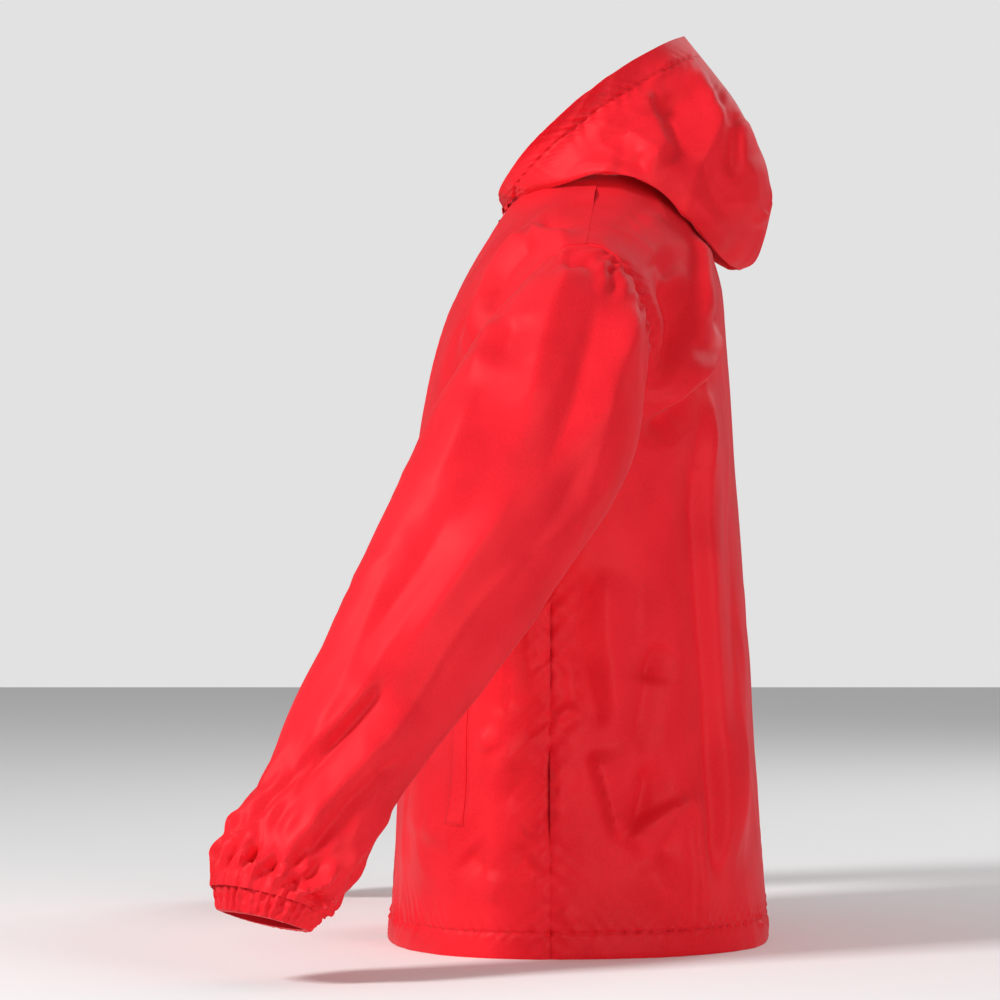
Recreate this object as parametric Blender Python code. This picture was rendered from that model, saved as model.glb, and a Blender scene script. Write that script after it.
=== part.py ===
"""Light hooded zip-front jacket, standing on its hem as if worn.

Metres, +Z up. The hem lies on z = 0, the front faces -Y and the wearer's left is +X.
Each cloth piece is a patch of one of three surfaces (body, sleeve, hood) given a thickness.
"""
import math

import bmesh
import bpy
import numpy as np
from mathutils import Matrix

# ---- cloth and joins ----
CLOTH = 0.0012           # panel thickness, with its seam allowances
FACING = 0.0008          # single strips sewn inside
AIR = 0.0004             # clearance between neighbouring pieces

# ---- body ----
ARM_X = 0.235            # plane of each armhole
HEM_HALF_WIDTH = 0.222
WIDENING_Z = (0.38, 0.60)  # over this height the sections widen past the armhole's plane
WIDENING = 0.036
UNDERARM_Z = 0.447
SHOULDER_Z = 0.652
SHOULDER_SLOPE = 0.49    # rise towards the neck, per metre of width
NECK_HALF_WIDTH = 0.085
NECK_FRONT_Z = 0.6905
NECK_BACK_Z = 0.722
SECTION_POWER = 2.3      # roundness of the body's plan section
TOP_DEPTH = 0.13         # height over which the shoulders round over
SIDE_SEAM_Y = 0.038
SEAM_LEAN = 0.0335       # how far back the seam line leans by the shoulder
SEAM_SWEEP = 0.09        # and further towards the neck, per metre of width
LEAN_START_Z = 0.30
BACK_FOOT_Y = 0.2475
BACK_LEAN = 0.068
NAPE_START_Z = 0.60      # above this the back rounds in
NAPE_BEND = 2.38
ROOF_POWER = 2.2         # roundness of the shoulders
NECKLINE_POWER = 2.2
ZIP_EDGE_X = 0.0065      # fabric edge beside the zip

# ---- centre front: a straight line below, an arc over the chest ----
FRONT_RADIUS = 0.500
FRONT_TOP_Y = -0.0015
FRONT_TOP_LEAN = math.radians(34.0)
FRONT_LOW_LEAN = math.radians(3.4)
ARC_Y = FRONT_TOP_Y + FRONT_RADIUS * math.cos(FRONT_TOP_LEAN)
ARC_Z = NECK_FRONT_Z - FRONT_RADIUS * math.sin(FRONT_TOP_LEAN)
ARC_END_Y = ARC_Y - FRONT_RADIUS * math.cos(FRONT_LOW_LEAN)
ARC_END_Z = ARC_Z + FRONT_RADIUS * math.sin(FRONT_LOW_LEAN)
ARC_LENGTH = FRONT_RADIUS * (FRONT_TOP_LEAN - FRONT_LOW_LEAN)

# ---- hems, cuffs, zip ----
HEM_HEIGHT = 0.024
CUFF_LENGTH = 0.026
TEETH_INNER_X = 0.0006
TEETH_OUTER_X = 0.0031
TAPE_OUTER_X = 0.0135
TEETH_FACE = 0.0010      # depths below the front's surface
TEETH_BACK = 0.0030
TAPE_FACE = 0.0021
STOP_LENGTH = 0.0024
SLIDER_LENGTH = 0.010
SLIDER_HALF_WIDTH = 0.0045
PULLER_LENGTH = 0.021

RED = (0.72, 0.012, 0.022, 1.0)
DARK_RED = (0.50, 0.008, 0.016, 1.0)
BLACK = (0.012, 0.012, 0.014, 1.0)
SILVER = (0.78, 0.78, 0.80, 1.0)
WHITE = (0.80, 0.80, 0.78, 1.0)


def clear_scene():
    for item in list(bpy.data.objects):
        bpy.data.objects.remove(item, do_unlink=True)


def material(name, colour, roughness, metallic=0.0):
    made = bpy.data.materials.new(name)
    made.use_nodes = True
    shader = made.node_tree.nodes["Principled BSDF"]
    shader.inputs["Base Color"].default_value = colour
    shader.inputs["Roughness"].default_value = roughness
    shader.inputs["Metallic"].default_value = metallic
    return made


def smoothstep(t):
    t = min(max(t, 0.0), 1.0)
    return t * t * (3.0 - 2.0 * t)


def unit(vector):
    vector = np.asarray(vector, float)
    return vector / np.linalg.norm(vector)


def curve_through(points, t):
    """Smooth curve through hand-placed points, t from 0 to 1, evenly spaced in point number."""
    points = np.asarray(points, float)
    last = len(points) - 1
    place = min(max(t, 0.0), 1.0) * last
    i = min(int(place), last - 1)
    f = place - i
    p1, p2 = points[i], points[i + 1]
    p0 = points[i - 1] if i > 0 else 2 * p1 - p2
    p3 = points[i + 2] if i + 2 <= last else 2 * p2 - p1
    return 0.5 * (2 * p1 + (p2 - p0) * f + (2 * p0 - 5 * p1 + 4 * p2 - p3) * f ** 2
                  + (3 * p1 - p0 - 3 * p2 + p3) * f ** 3)


# ---------------------------------------------------------------- surfaces
def front_line(z):
    """y of the centre front at height z."""
    if z < ARC_END_Z:
        return ARC_END_Y - (ARC_END_Z - z) * math.tan(FRONT_LOW_LEAN)
    return ARC_Y - math.sqrt(FRONT_RADIUS ** 2 - (z - ARC_Z) ** 2)


def back_line(z):
    """y of the centre back at height z: nearly straight, rounding in at the nape."""
    return BACK_FOOT_Y - BACK_LEAN * z - NAPE_BEND * max(z - NAPE_START_Z, 0.0) ** 2


def rise(z):
    return smoothstep((z - LEAN_START_Z) / (SHOULDER_Z - LEAN_START_Z))


def middle_y(x, z):
    """y of the line where front and back meet: the side seam, leaning back into the shoulder seam."""
    return SIDE_SEAM_Y + (SEAM_LEAN + SEAM_SWEEP * (ARM_X - x)) * rise(z)


def half_width(z):
    """Half width of the whole section, which passes the armhole's plane at the underarm."""
    growth = smoothstep((z - WIDENING_Z[0]) / (WIDENING_Z[1] - WIDENING_Z[0]))
    at_underarm = smoothstep((UNDERARM_Z - WIDENING_Z[0]) / (WIDENING_Z[1] - WIDENING_Z[0]))
    below = ARM_X - WIDENING * at_underarm
    return HEM_HALF_WIDTH + (below - HEM_HALF_WIDTH) * min(z / UNDERARM_Z, 1.0) + WIDENING * growth


def shoulder_z(x):
    """Height of the shoulder seam at x, carried on over the neck opening as a rounded crest."""
    if x >= NECK_HALF_WIDTH:
        return SHOULDER_Z + SHOULDER_SLOPE * (ARM_X - x)
    crest = 0.5 * NECK_HALF_WIDTH * (1.0 - (x / NECK_HALF_WIDTH) ** 2)
    return SHOULDER_Z + SHOULDER_SLOPE * (ARM_X - NECK_HALF_WIDTH + crest)


def roof(x, z):
    """Share of the depth left at a point just under the shoulder."""
    gap = max(shoulder_z(x) - z, 0.0) / TOP_DEPTH
    return (1.0 - (1.0 - min(gap, 1.0)) ** ROOF_POWER) ** (1.0 / ROOF_POWER)


def neckline_z(x, is_front):
    start = NECK_FRONT_Z if is_front else NECK_BACK_Z
    if x >= NECK_HALF_WIDTH:
        return shoulder_z(x)
    return start + (shoulder_z(NECK_HALF_WIDTH) - start) * (x / NECK_HALF_WIDTH) ** NECKLINE_POWER


def section_x(f, z, start_x):
    """x at fraction f of the way round from the centre to the side or armhole, at height z."""
    width = half_width(z)
    power = SECTION_POWER / 2.0
    first = math.asin((start_x / width) ** power)
    last = math.pi / 2 if width <= ARM_X else math.asin((ARM_X / width) ** power)
    return width * math.sin(first + (last - first) * f) ** (1.0 / power)


def body_point(f, z, side, is_front, start_x):
    x = section_x(f, z, start_x)
    width = half_width(z)
    share = max(1.0 - (x / width) ** SECTION_POWER, 0.0) ** (1.0 / SECTION_POWER)
    depth_line = front_line(z) if is_front else back_line(z)
    depth = (depth_line - middle_y(0.0, z)) * share * roof(x, z) / roof(0.0, z)
    return np.array((side * x, middle_y(x, z) + depth, z))


def body_top(f, is_front, start_x):
    """Height of the panel's top edge in column f, where the section meets neckline or shoulder."""
    z = shoulder_z(NECK_HALF_WIDTH)
    for _ in range(40):
        z = 0.5 * (z + neckline_z(section_x(f, z, start_x), is_front))
    return z


def neck_column(start_x):
    """Column that ends at the neck point, where neckline and shoulder seam meet."""
    low, high = 0.0, 1.0
    z = shoulder_z(NECK_HALF_WIDTH)
    for _ in range(40):
        middle = 0.5 * (low + high)
        if section_x(middle, z, start_x) < NECK_HALF_WIDTH:
            low = middle
        else:
            high = middle
    return low


def body_surface(side, is_front, start_x):
    def point(f, v):
        return body_point(f, v * body_top(f, is_front, start_x), side, is_front, start_x)
    return point


def armhole_rise(share):
    """Even steps made closer together at the foot and the head of the armhole."""
    return 0.5 * (1 - math.cos(math.pi * share))


def armhole(side, count):
    """Points round the armhole: up the front from the underarm, then down the back."""
    points = []
    for is_front in (True, False):
        for i in range(count):
            share = i / count if is_front else 1.0 - i / count
            z = UNDERARM_Z + (SHOULDER_Z - UNDERARM_Z) * armhole_rise(share)
            points.append(body_point(1.0, z, side, is_front, 0.0))
    return np.array(points)


# Sleeve rings after the armhole: centre, half size to the front, half size to the outside,
# and how far the ring has turned from the armhole's plane to square across the sleeve.
SLEEVE_RINGS = (
    (0.262, 0.043, 0.526, 0.080, 0.088, 0.25),
    (0.292, 0.019, 0.470, 0.092, 0.066, 0.60),
    (0.325, -0.030, 0.384, 0.083, 0.056, 1.0),
    (0.356, -0.080, 0.2985, 0.0735, 0.052, 1.0),
    (0.386, -0.131, 0.215, 0.0625, 0.048, 1.0),
    (0.408, -0.165, 0.153, 0.055, 0.045, 1.0),
    (0.422, -0.189, 0.112, 0.055, 0.045, 1.0),
    (0.432, -0.206, 0.083, 0.051, 0.042, 1.0),
    (0.439, -0.213, 0.057, 0.041, 0.037, 1.0),
)
SLEEVE_END = (len(SLEEVE_RINGS) - 1.0) / len(SLEEVE_RINGS)
ARMHOLE_HALF_SIZES = (0.066, 0.1025)
SLEEVE_DRIFT = 0.004     # least distance outwards from the armhole's plane, by the cuff
DIRECTION_STEP = 0.02


def sleeve_surface(side, count):
    """Sleeve tube: column c (0 to 2 * count) runs round, v runs from armhole to cuff edge."""
    hole = armhole(side, count)
    middle = 0.5 * (hole[0] + hole[count])
    start = (side * middle[0], middle[1], middle[2]) + ARMHOLE_HALF_SIZES + (0.0,)
    rings = np.array((start,) + SLEEVE_RINGS)

    def point(c, v):
        c = int(c) % (2 * count)
        ring = curve_through(rings, v)
        before = curve_through(rings, max(v - DIRECTION_STEP, 0.0))
        ahead = curve_through(rings, min(v + DIRECTION_STEP, 1.0)) - before
        along = unit(ahead[:3])
        turn = min(ring[5], 1.0)
        square_front = unit(np.cross(along, (1, 0, 0)))
        normal = unit((1 - turn) * np.array((1.0, 0, 0)) + turn * along)
        to_front = unit((1 - turn) * np.array((0, -1.0, 0)) + turn * square_front)
        outward = unit(np.cross(to_front, normal))
        angle = math.pi * (c / count - 0.5)
        tube = ring[:3] + to_front * ring[3] * math.cos(angle) + outward * ring[4] * math.sin(angle)
        tube[0] *= side
        blend = smoothstep(v * len(SLEEVE_RINGS))
        found = hole[c] * (1 - blend) + tube * blend
        found[0] = side * max(side * found[0], ARM_X + AIR + SLEEVE_DRIFT * v)
        return found
    return point


# Hood, left half. Side outline (y, z) of the face edge with its half width x.
FACE_EDGE = (
    (0.0100, -0.0040, 0.7020), (0.0450, -0.0080, 0.7140), (0.0780, 0.0036, 0.7330),
    (0.1000, 0.0215, 0.7550), (0.1110, 0.0451, 0.7780), (0.1120, 0.0706, 0.8005),
    (0.1000, 0.1026, 0.8235), (0.0620, 0.1440, 0.8500), (0.0004, 0.1690, 0.8649))
LOW_FOLD = (
    (0.0100, -0.0040, 0.7020), (0.0480, 0.0094, 0.7060), (0.0850, 0.0309, 0.7110),
    (0.1080, 0.0533, 0.7165), (0.1240, 0.0856, 0.7256), (0.1280, 0.1136, 0.7215),
    (0.1240, 0.1323, 0.7140), (0.1130, 0.1510, 0.7010), (0.0960, 0.1707, 0.6824),
    (0.0700, 0.1890, 0.6630), (0.0380, 0.2070, 0.6470), (0.0004, 0.2225, 0.6400))
CROWN_SEAM = (
    (0.1690, 0.8649), (0.1968, 0.8304), (0.2141, 0.8073), (0.2275, 0.7843), (0.2390, 0.7613),
    (0.2486, 0.7382), (0.2540, 0.7037))
NAPE_SEAM = ((0.2225, 0.6400), (0.2370, 0.6480), (0.2460, 0.6700), (0.2540, 0.7037))
FOLD_SHARE = 0.2          # part of the hood's rows that lies under the fold
NECK_RAISE = 0.0032       # from the neck edge of the panels up to the hood's sewn edge
FRONT_NECK_SHARE = 0.45   # part of the neck seam that runs along the front panel
NECK_BULGE = 0.004
CENTRE_X = 0.0004         # the centre seam's edge, clear of the other half
HOOD_POWER = 2.2          # how the hood rounds over to its crown
FACE_REACH = 0.4          # part of the width over which the face edge shapes the hood


def hood_base(u):
    """Neck seam at u, 0 at the zip and 1 at the centre back."""
    if u < FRONT_NECK_SHARE:
        x = ZIP_EDGE_X + (NECK_HALF_WIDTH - ZIP_EDGE_X) * math.sin(0.5 * math.pi * u / FRONT_NECK_SHARE)
        is_front = True
    else:
        x = NECK_HALF_WIDTH * math.cos(0.5 * math.pi * (u - FRONT_NECK_SHARE) / (1 - FRONT_NECK_SHARE))
        x = max(x, CENTRE_X)
        is_front = False
    z = neckline_z(x, is_front)
    share = (1.0 - (x / half_width(z)) ** SECTION_POWER) ** (1.0 / SECTION_POWER)
    line = front_line(z) if is_front else back_line(z)
    y = middle_y(x, z) + (line - middle_y(0.0, z)) * share * roof(x, z) / roof(0.0, z)
    return np.array((x, y, z + NECK_RAISE))


def hood_surface(side):
    def point(u, v):
        fold = curve_through(LOW_FOLD, u)
        if v < FOLD_SHARE:
            t = v / FOLD_SHARE
            found = hood_base(u) * (1 - t) + fold * t
            found[2] += NECK_BULGE * math.sin(math.pi * t) * (1 - u)
        else:
            t = (v - FOLD_SHARE) / (1 - FOLD_SHARE)
            face = curve_through(FACE_EDGE, t)
            crown = curve_through(CROWN_SEAM, u)
            nape = curve_through(NAPE_SEAM, t)
            low_corners = (1 - u) * np.array(LOW_FOLD[0][1:]) + u * np.array(LOW_FOLD[-1][1:])
            high_corners = (1 - u) * np.array(CROWN_SEAM[0]) + u * np.array(CROWN_SEAM[-1])
            corner = (1 - t) * low_corners + t * high_corners
            flat = (1 - t) * fold[1:] + t * crown + (1 - u) * face[1:] + u * nape - corner
            round_over = max(1 - t ** HOOD_POWER, 0.0) ** (1 / HOOD_POWER)
            near_face = max(1 - u / FACE_REACH, 0.0) ** 2
            x = fold[0] * round_over + near_face * (face[0] - LOW_FOLD[0][0] * round_over)
            found = np.array((max(x, CENTRE_X), flat[0], flat[1]))
        return np.array((side * found[0], found[1], found[2]))
    return point


# ---------------------------------------------------------------- solids
PINCHED_NORMAL = (0.0, 0.6, 0.8)


def grid_normals(grid, facing, sample, around):
    if around:
        across = np.roll(grid, -1, axis=1) - np.roll(grid, 1, axis=1)
    else:
        across = np.gradient(grid, axis=1)
    along = np.gradient(grid, axis=0)
    normals = np.cross(across, along)
    normals /= np.maximum(np.linalg.norm(normals, axis=2, keepdims=True), 1e-12)
    if np.dot(normals[sample], facing) < 0:
        normals = -normals
    return normals


def halves(quads):
    """Each four-sided face as two flat triangles."""
    return [corners for a, b, c, d in quads for corners in ((a, b, c), (a, c, d))]


def mesh_object(name, vertices, faces, finish):
    mesh = bpy.data.meshes.new(name)
    mesh.from_pydata([tuple(v) for v in vertices], [], faces)
    work = bmesh.new()
    work.from_mesh(mesh)
    bmesh.ops.recalc_face_normals(work, faces=work.faces)
    work.to_mesh(mesh)
    work.free()
    mesh.shade_smooth()
    mesh.set_sharp_from_angle(angle=math.radians(40))
    made = bpy.data.objects.new(name, mesh)
    made.data.materials.append(finish)
    bpy.context.scene.collection.objects.link(made)
    return made


def between(name, outer, inner, finish, around=False):
    """Closed solid between two matching grids of points, with both walls split into the same triangles."""
    rows, columns = outer.shape[:2]
    vertices = np.concatenate((outer.reshape(-1, 3), inner.reshape(-1, 3)))
    shift = rows * columns
    outside, rim = [], []
    wrap = columns if around else columns - 1
    for r in range(rows - 1):
        for c in range(wrap):
            a, b = r * columns + c, r * columns + (c + 1) % columns
            outside.append((a, b, b + columns, a + columns))
    for r in (0, rows - 1):
        for c in range(wrap):
            a, b = r * columns + c, r * columns + (c + 1) % columns
            rim.append((a, b, b + shift, a + shift))
    if not around:
        for c in (0, columns - 1):
            for r in range(rows - 1):
                a, b = r * columns + c, (r + 1) * columns + c
                rim.append((a, b, b + shift, a + shift))
    outside = halves(outside)
    inside = [tuple(i + shift for i in reversed(corners)) for corners in outside]
    return mesh_object(name, vertices, outside + inside + halves(rim), finish)


def patch(name, surface, columns, rows, depths, finish, facing, sample, around=False,
          flat_rows=(), flat_columns=()):
    """Cloth piece: the surface's patch, from the first to the second depth below it.

    Flat rows and columns get their thickness within their own x plane, and a pinched corner
    takes a fixed direction.
    """
    grid = np.array([[surface(u, v) for u in columns] for v in rows])
    normals = grid_normals(grid, facing, sample, around)
    for row in flat_rows:
        normals[row, :, 0] = 0.0
    for column in flat_columns:
        normals[:, column, 0] = 0.0
    lengths = np.linalg.norm(normals, axis=2, keepdims=True)
    pinched = 0.1
    normals = np.where(lengths < pinched, PINCHED_NORMAL, normals / np.maximum(lengths, pinched))
    return between(name, grid - depths[0] * normals, grid - depths[1] * normals, finish, around)


def block(name, corners, finish):
    """Solid with six faces from four corners below and four above."""
    faces = [(3, 2, 1, 0), (4, 5, 6, 7), (0, 1, 5, 4), (1, 2, 6, 5), (2, 3, 7, 6), (3, 0, 4, 7)]
    return mesh_object(name, corners, faces, finish)


# ---------------------------------------------------------------- body panels
AROUND = 10               # half the number of points round an armhole and a sleeve
LOW_ROWS = 6
NECK_COLUMNS = 3
SHOULDER_COLUMNS = 8


def body_rows():
    """Rows up a panel, with one exactly at the underarm and the rest as round the armhole."""
    underarm = UNDERARM_Z / SHOULDER_Z
    low = [underarm * i / LOW_ROWS for i in range(LOW_ROWS)]
    high = [underarm + (1 - underarm) * armhole_rise(i / AROUND) for i in range(AROUND + 1)]
    return low + high


def columns_from(start_x):
    """Columns from the centre to the side, with one exactly at the neck point."""
    neck = neck_column(start_x)
    inside = [neck * i / NECK_COLUMNS for i in range(NECK_COLUMNS)]
    outside = [neck + (1 - neck) * i / SHOULDER_COLUMNS for i in range(SHOULDER_COLUMNS + 1)]
    return inside + outside


def body_panel(name, surface, columns, sides, facing, finish):
    """Panel with its seam edges drawn back from its neighbour and its armhole edges kept flat."""
    rows = body_rows()
    grid = np.array([[surface(u, v) for u in columns] for v in rows])
    normals = grid_normals(grid, facing, (5, len(columns) // 2), False)
    away = AIR / 2 * facing[1]
    for side_column in sides:
        grid[:LOW_ROWS + 1, side_column, 1] += away
        normals[:LOW_ROWS + 1, side_column, 1] = 0.0
        normals[LOW_ROWS + 1:, side_column, 0] = 0.0
    for c in range(len(columns)):
        if abs(grid[-1, c, 0]) > NECK_HALF_WIDTH - AIR / 4:
            grid[-1, c, 1] += away
            normals[-1, c, 1] = 0.0
    normals[0, :, 2] = 0.0
    normals /= np.linalg.norm(normals, axis=2, keepdims=True)
    between(name, grid, grid - CLOTH * normals, finish)


def whole_back(f, v):
    side = -1 if f < 0 else 1
    return body_surface(side, False, 0.0)(abs(f), v)


def back_columns():
    half = columns_from(0.0)
    return [-f for f in reversed(half[1:])] + half


def on_facets(surface, columns, rows):
    """A panel's surface as its flat facets have it, for pieces that lie close against it."""
    grid = np.array([[surface(u, v) for u in columns] for v in rows])

    def point(u, v):
        c = min(max(int(np.searchsorted(columns, u)) - 1, 0), len(columns) - 2)
        r = min(max(int(np.searchsorted(rows, v)) - 1, 0), len(rows) - 2)
        a = (u - columns[c]) / (columns[c + 1] - columns[c])
        b = (v - rows[r]) / (rows[r + 1] - rows[r])
        low = grid[r, c] * (1 - a) + grid[r, c + 1] * a
        high = grid[r + 1, c] * (1 - a) + grid[r + 1, c + 1] * a
        return low * (1 - b) + high * b
    return point


def body_panels(finish):
    for word, side in (("left", 1), ("right", -1)):
        surface = body_surface(side, True, ZIP_EDGE_X)
        body_panel("front_" + word, surface, columns_from(ZIP_EDGE_X), (-1,), (0, -1, 0), finish)
    body_panel("back_panel", whole_back, back_columns(), (0, -1), (0, 1, 0), finish)


HEM_LIFT = 0.003          # the facing's edge stays this share of the height above the fold
HEM_END = 0.975           # column of the facing's end at the side seam
HEM_ZIP_END = 0.11


def hem_facing(name, surface, panel_columns, ends, facing, finish):
    """Single strip inside the hem, its own columns on the panel's, so the two lie parallel."""
    rows = [HEM_LIFT + HEM_HEIGHT / NECK_FRONT_Z * i / 2 for i in range(3)]
    least_step = 0.02
    inner = [u for u in panel_columns if ends[0] + least_step < u < ends[1] - least_step]
    depth = CLOTH + AIR
    columns = [ends[0]] + inner + [ends[1]]
    patch(name, on_facets(surface, panel_columns, body_rows()), columns, rows,
          (depth, depth + FACING), finish, facing, (1, len(columns) // 2))


def hem_facings(finish):
    for word, side in (("left", 1), ("right", -1)):
        hem_facing("hem_facing_front_" + word, body_surface(side, True, ZIP_EDGE_X),
                   columns_from(ZIP_EDGE_X), (HEM_ZIP_END, HEM_END), (0, -1, 0), finish)
    hem_facing("hem_facing_back", whole_back, back_columns(), (-HEM_END, HEM_END), (0, 1, 0), finish)


# ---------------------------------------------------------------- pockets
PANEL_HEIGHT = 0.69
POCKET_LOW_Z = 0.122
POCKET_HIGH_Z = 0.300
POCKET_WELT = (0.585, 0.665)     # columns of the front panel
POCKET_BAG = (0.30, 0.64)
BAG_BELOW = 0.030                # rows of the bag beyond the opening
BAG_ABOVE = 0.020


def pockets(cloth, lining):
    """Stitched welt outside the panel and a flat two-layer bag inside it."""
    low, high = POCKET_LOW_Z / PANEL_HEIGHT, POCKET_HIGH_Z / PANEL_HEIGHT
    tall = high - low
    for word, side in (("left", 1), ("right", -1)):
        surface = on_facets(body_surface(side, True, ZIP_EDGE_X), columns_from(ZIP_EDGE_X), body_rows())
        columns = [POCKET_WELT[0] + (POCKET_WELT[1] - POCKET_WELT[0]) * i / 3 for i in range(4)]
        rows = [low + tall * i / 6 for i in range(7)]
        patch("pocket_welt_" + word, surface, columns, rows, (-2 * AIR - FACING, -2 * AIR), cloth,
              (0, -1, 0), (2, 2))
        columns = [POCKET_BAG[0] + (POCKET_BAG[1] - POCKET_BAG[0]) * i / 6 for i in range(7)]
        rows = [low - BAG_BELOW + (tall + BAG_BELOW + BAG_ABOVE) * i / 8 for i in range(9)]
        top = CLOTH + 4 * AIR
        patch("pocket_bag_" + word, surface, columns, rows, (top, top + 2 * FACING), lining,
              (0, -1, 0), (2, 2))


# ---------------------------------------------------------------- sleeves and cuffs
SLEEVE_STEPS = 17
CUFF_GAP = 0.003          # between the sleeve's end and the cuff, along the sleeve's surface
CUFF_ROOM = 0.0034        # between the casing's two walls
CUFF_BOW = 0.0008
ELASTIC_ENDS = (0.12, 0.80)


def sleeves(cloth, casing, elastic):
    columns = list(range(2 * AROUND))
    rows = [SLEEVE_END * i / SLEEVE_STEPS for i in range(SLEEVE_STEPS + 1)]
    for word, side in (("left", 1), ("right", -1)):
        surface = sleeve_surface(side, AROUND)
        patch("sleeve_" + word, surface, columns, rows, (0.0, CLOTH), cloth,
              (side, 0, 0), (9, AROUND), around=True, flat_rows=(0,))
        cuff(word, surface, casing, elastic)


def cuff_ring(surface, share, inset):
    """Ring at a share of the way down the cuff, drawn in towards its centre by inset."""
    first = np.array([surface(c, SLEEVE_END + CUFF_GAP) for c in range(2 * AROUND)])
    last = np.array([surface(c, 1.0) for c in range(2 * AROUND)])
    ring = first + (last - first) * share
    spokes = ring - ring.mean(axis=0)
    return ring - inset * spokes / np.linalg.norm(spokes, axis=1, keepdims=True)


def cuff(word, surface, casing, elastic):
    """Folded casing, open at its sewn edge, with the elastic lying loose inside it."""
    wall = FACING
    inner = wall + CUFF_ROOM
    fold = 1.0 - wall / CUFF_LENGTH
    outline = [(0.0, 0.0), (0.5, -CUFF_BOW), (1.0, 0.0), (1.0, inner + wall), (0.0, inner + wall),
               (0.0, inner), (fold, inner), (fold, wall), (0.0, wall)]
    ring_solid("cuff_casing_" + word, np.array([cuff_ring(surface, *place) for place in outline]), casing)
    near, far = wall + 2.5 * AIR, inner - 2.5 * AIR
    first, last = ELASTIC_ENDS
    band = [(first, near), (last, near), (last, far), (first, far)]
    ring_solid("cuff_elastic_" + word, np.array([cuff_ring(surface, *place) for place in band]), elastic)


def ring_solid(name, loops, finish):
    """Closed ring whose cross-section runs through the given loops in turn."""
    count, columns = loops.shape[:2]
    faces = []
    for r in range(count):
        for c in range(columns):
            s, d = (r + 1) % count, (c + 1) % columns
            faces.append((r * columns + c, r * columns + d, s * columns + d, s * columns + c))
    return mesh_object(name, loops.reshape(-1, 3), faces, finish)


# ---------------------------------------------------------------- hood
HOOD_COLUMNS = 15
HOOD_ROWS = 12
CASING_COLUMNS = (0.004, 0.058)
CASING_INSET = 0.03       # rows left free at each end of the casing


def hood(cloth, casing):
    columns = [i / HOOD_COLUMNS for i in range(HOOD_COLUMNS + 1)]
    above = [FOLD_SHARE + (1 - FOLD_SHARE) * i / HOOD_ROWS for i in range(HOOD_ROWS + 1)]
    rows = [0.0, FOLD_SHARE / 2] + above
    inner_rows = [FOLD_SHARE + CASING_INSET] + above[1:-1] + [1.0 - CASING_INSET]
    depth = CLOTH + 5 * AIR
    for word, side in (("left", 1), ("right", -1)):
        surface = hood_surface(side)
        patch("hood_" + word, surface, columns, rows, (0.0, CLOTH), cloth, (side, 0, 0), (7, 7),
              flat_rows=(-1,), flat_columns=(-1,))
        patch("hood_hem_" + word, on_facets(surface, columns, rows), CASING_COLUMNS, inner_rows,
              (depth, depth + FACING), casing, (side, 0, 0), (7, 1))


# ---------------------------------------------------------------- zip
ZIP_GAP = 0.0003          # between neighbouring parts of the zip
ZIP_BOTTOM_GAP = 0.004
END_FITTING = 0.016
TAPE_THICKNESS = 0.0006
PLATE = 0.0010            # thickness of the slider's plates
SLIDER_TOP_FACE = 0.0004
WEB = (0.001, 0.006, 0.0003, 0.0040)       # start, end, half width and depth
LUG_FOOT = (0.0020, 0.0050, 0.0010, 0.0012)
LUG_PLACE = 0.0035
LUG_HEIGHT = 0.0026
LUG_RADIUS = 0.0021
LUG_HALF_LENGTH = 0.0010
LUG_HOLE_RADIUS = 0.0011
LUG_HOLE_HALF_LENGTH = 0.0030
PULLER_HALF_WIDTH = 0.0024
PULLER_HALF_THICKNESS = 0.0007
PIN_RADIUS = 0.0007
ARM_TOP = -0.0009
ARM_BOTTOM = 0.0046
ARM_WIDTH = 0.0011
TAB_TOP = 0.0036
WINDOW = (0.0085, 0.003, 0.0010, 0.002)    # top, distance from the foot, half width, half depth
FACING_COLUMNS = (0.004, 0.089)


def front_frame(s):
    """Point, downward direction and outward direction on the centre front, s metres down from the top."""
    if s <= ARC_LENGTH:
        lean = FRONT_TOP_LEAN - s / FRONT_RADIUS
        point = np.array((0.0, ARC_Y - FRONT_RADIUS * math.cos(lean), ARC_Z + FRONT_RADIUS * math.sin(lean)))
    else:
        lean = FRONT_LOW_LEAN
        rest = s - ARC_LENGTH
        point = np.array((0.0, ARC_END_Y - rest * math.sin(lean), ARC_END_Z - rest * math.cos(lean)))
    down = np.array((0, -math.sin(lean), -math.cos(lean)))
    out = np.array((0, -math.cos(lean), math.sin(lean)))
    return point, down, out


def front_length():
    return ARC_LENGTH + ARC_END_Z / math.cos(FRONT_LOW_LEAN)


def strip(name, first, last, x_range, depths, finish, steps=30):
    """Bar that follows the centre front from first to last metres down it."""
    loops = []
    for i in range(steps + 1):
        point, _, out = front_frame(first + (last - first) * i / steps)
        loops.append([point + out * d + np.array((x, 0, 0)) for x, d in
                      ((x_range[0], depths[0]), (x_range[1], depths[0]),
                       (x_range[1], depths[1]), (x_range[0], depths[1]))])
    loops = np.array(loops)
    vertices = loops.reshape(-1, 3)
    faces = [(0, 1, 2, 3), tuple(4 * steps + i for i in (3, 2, 1, 0))]
    for r in range(steps):
        for c in range(4):
            d = (c + 1) % 4
            faces.append((4 * r + c, 4 * r + d, 4 * r + 4 + d, 4 * r + 4 + c))
    return mesh_object(name, vertices, faces, finish)


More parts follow.
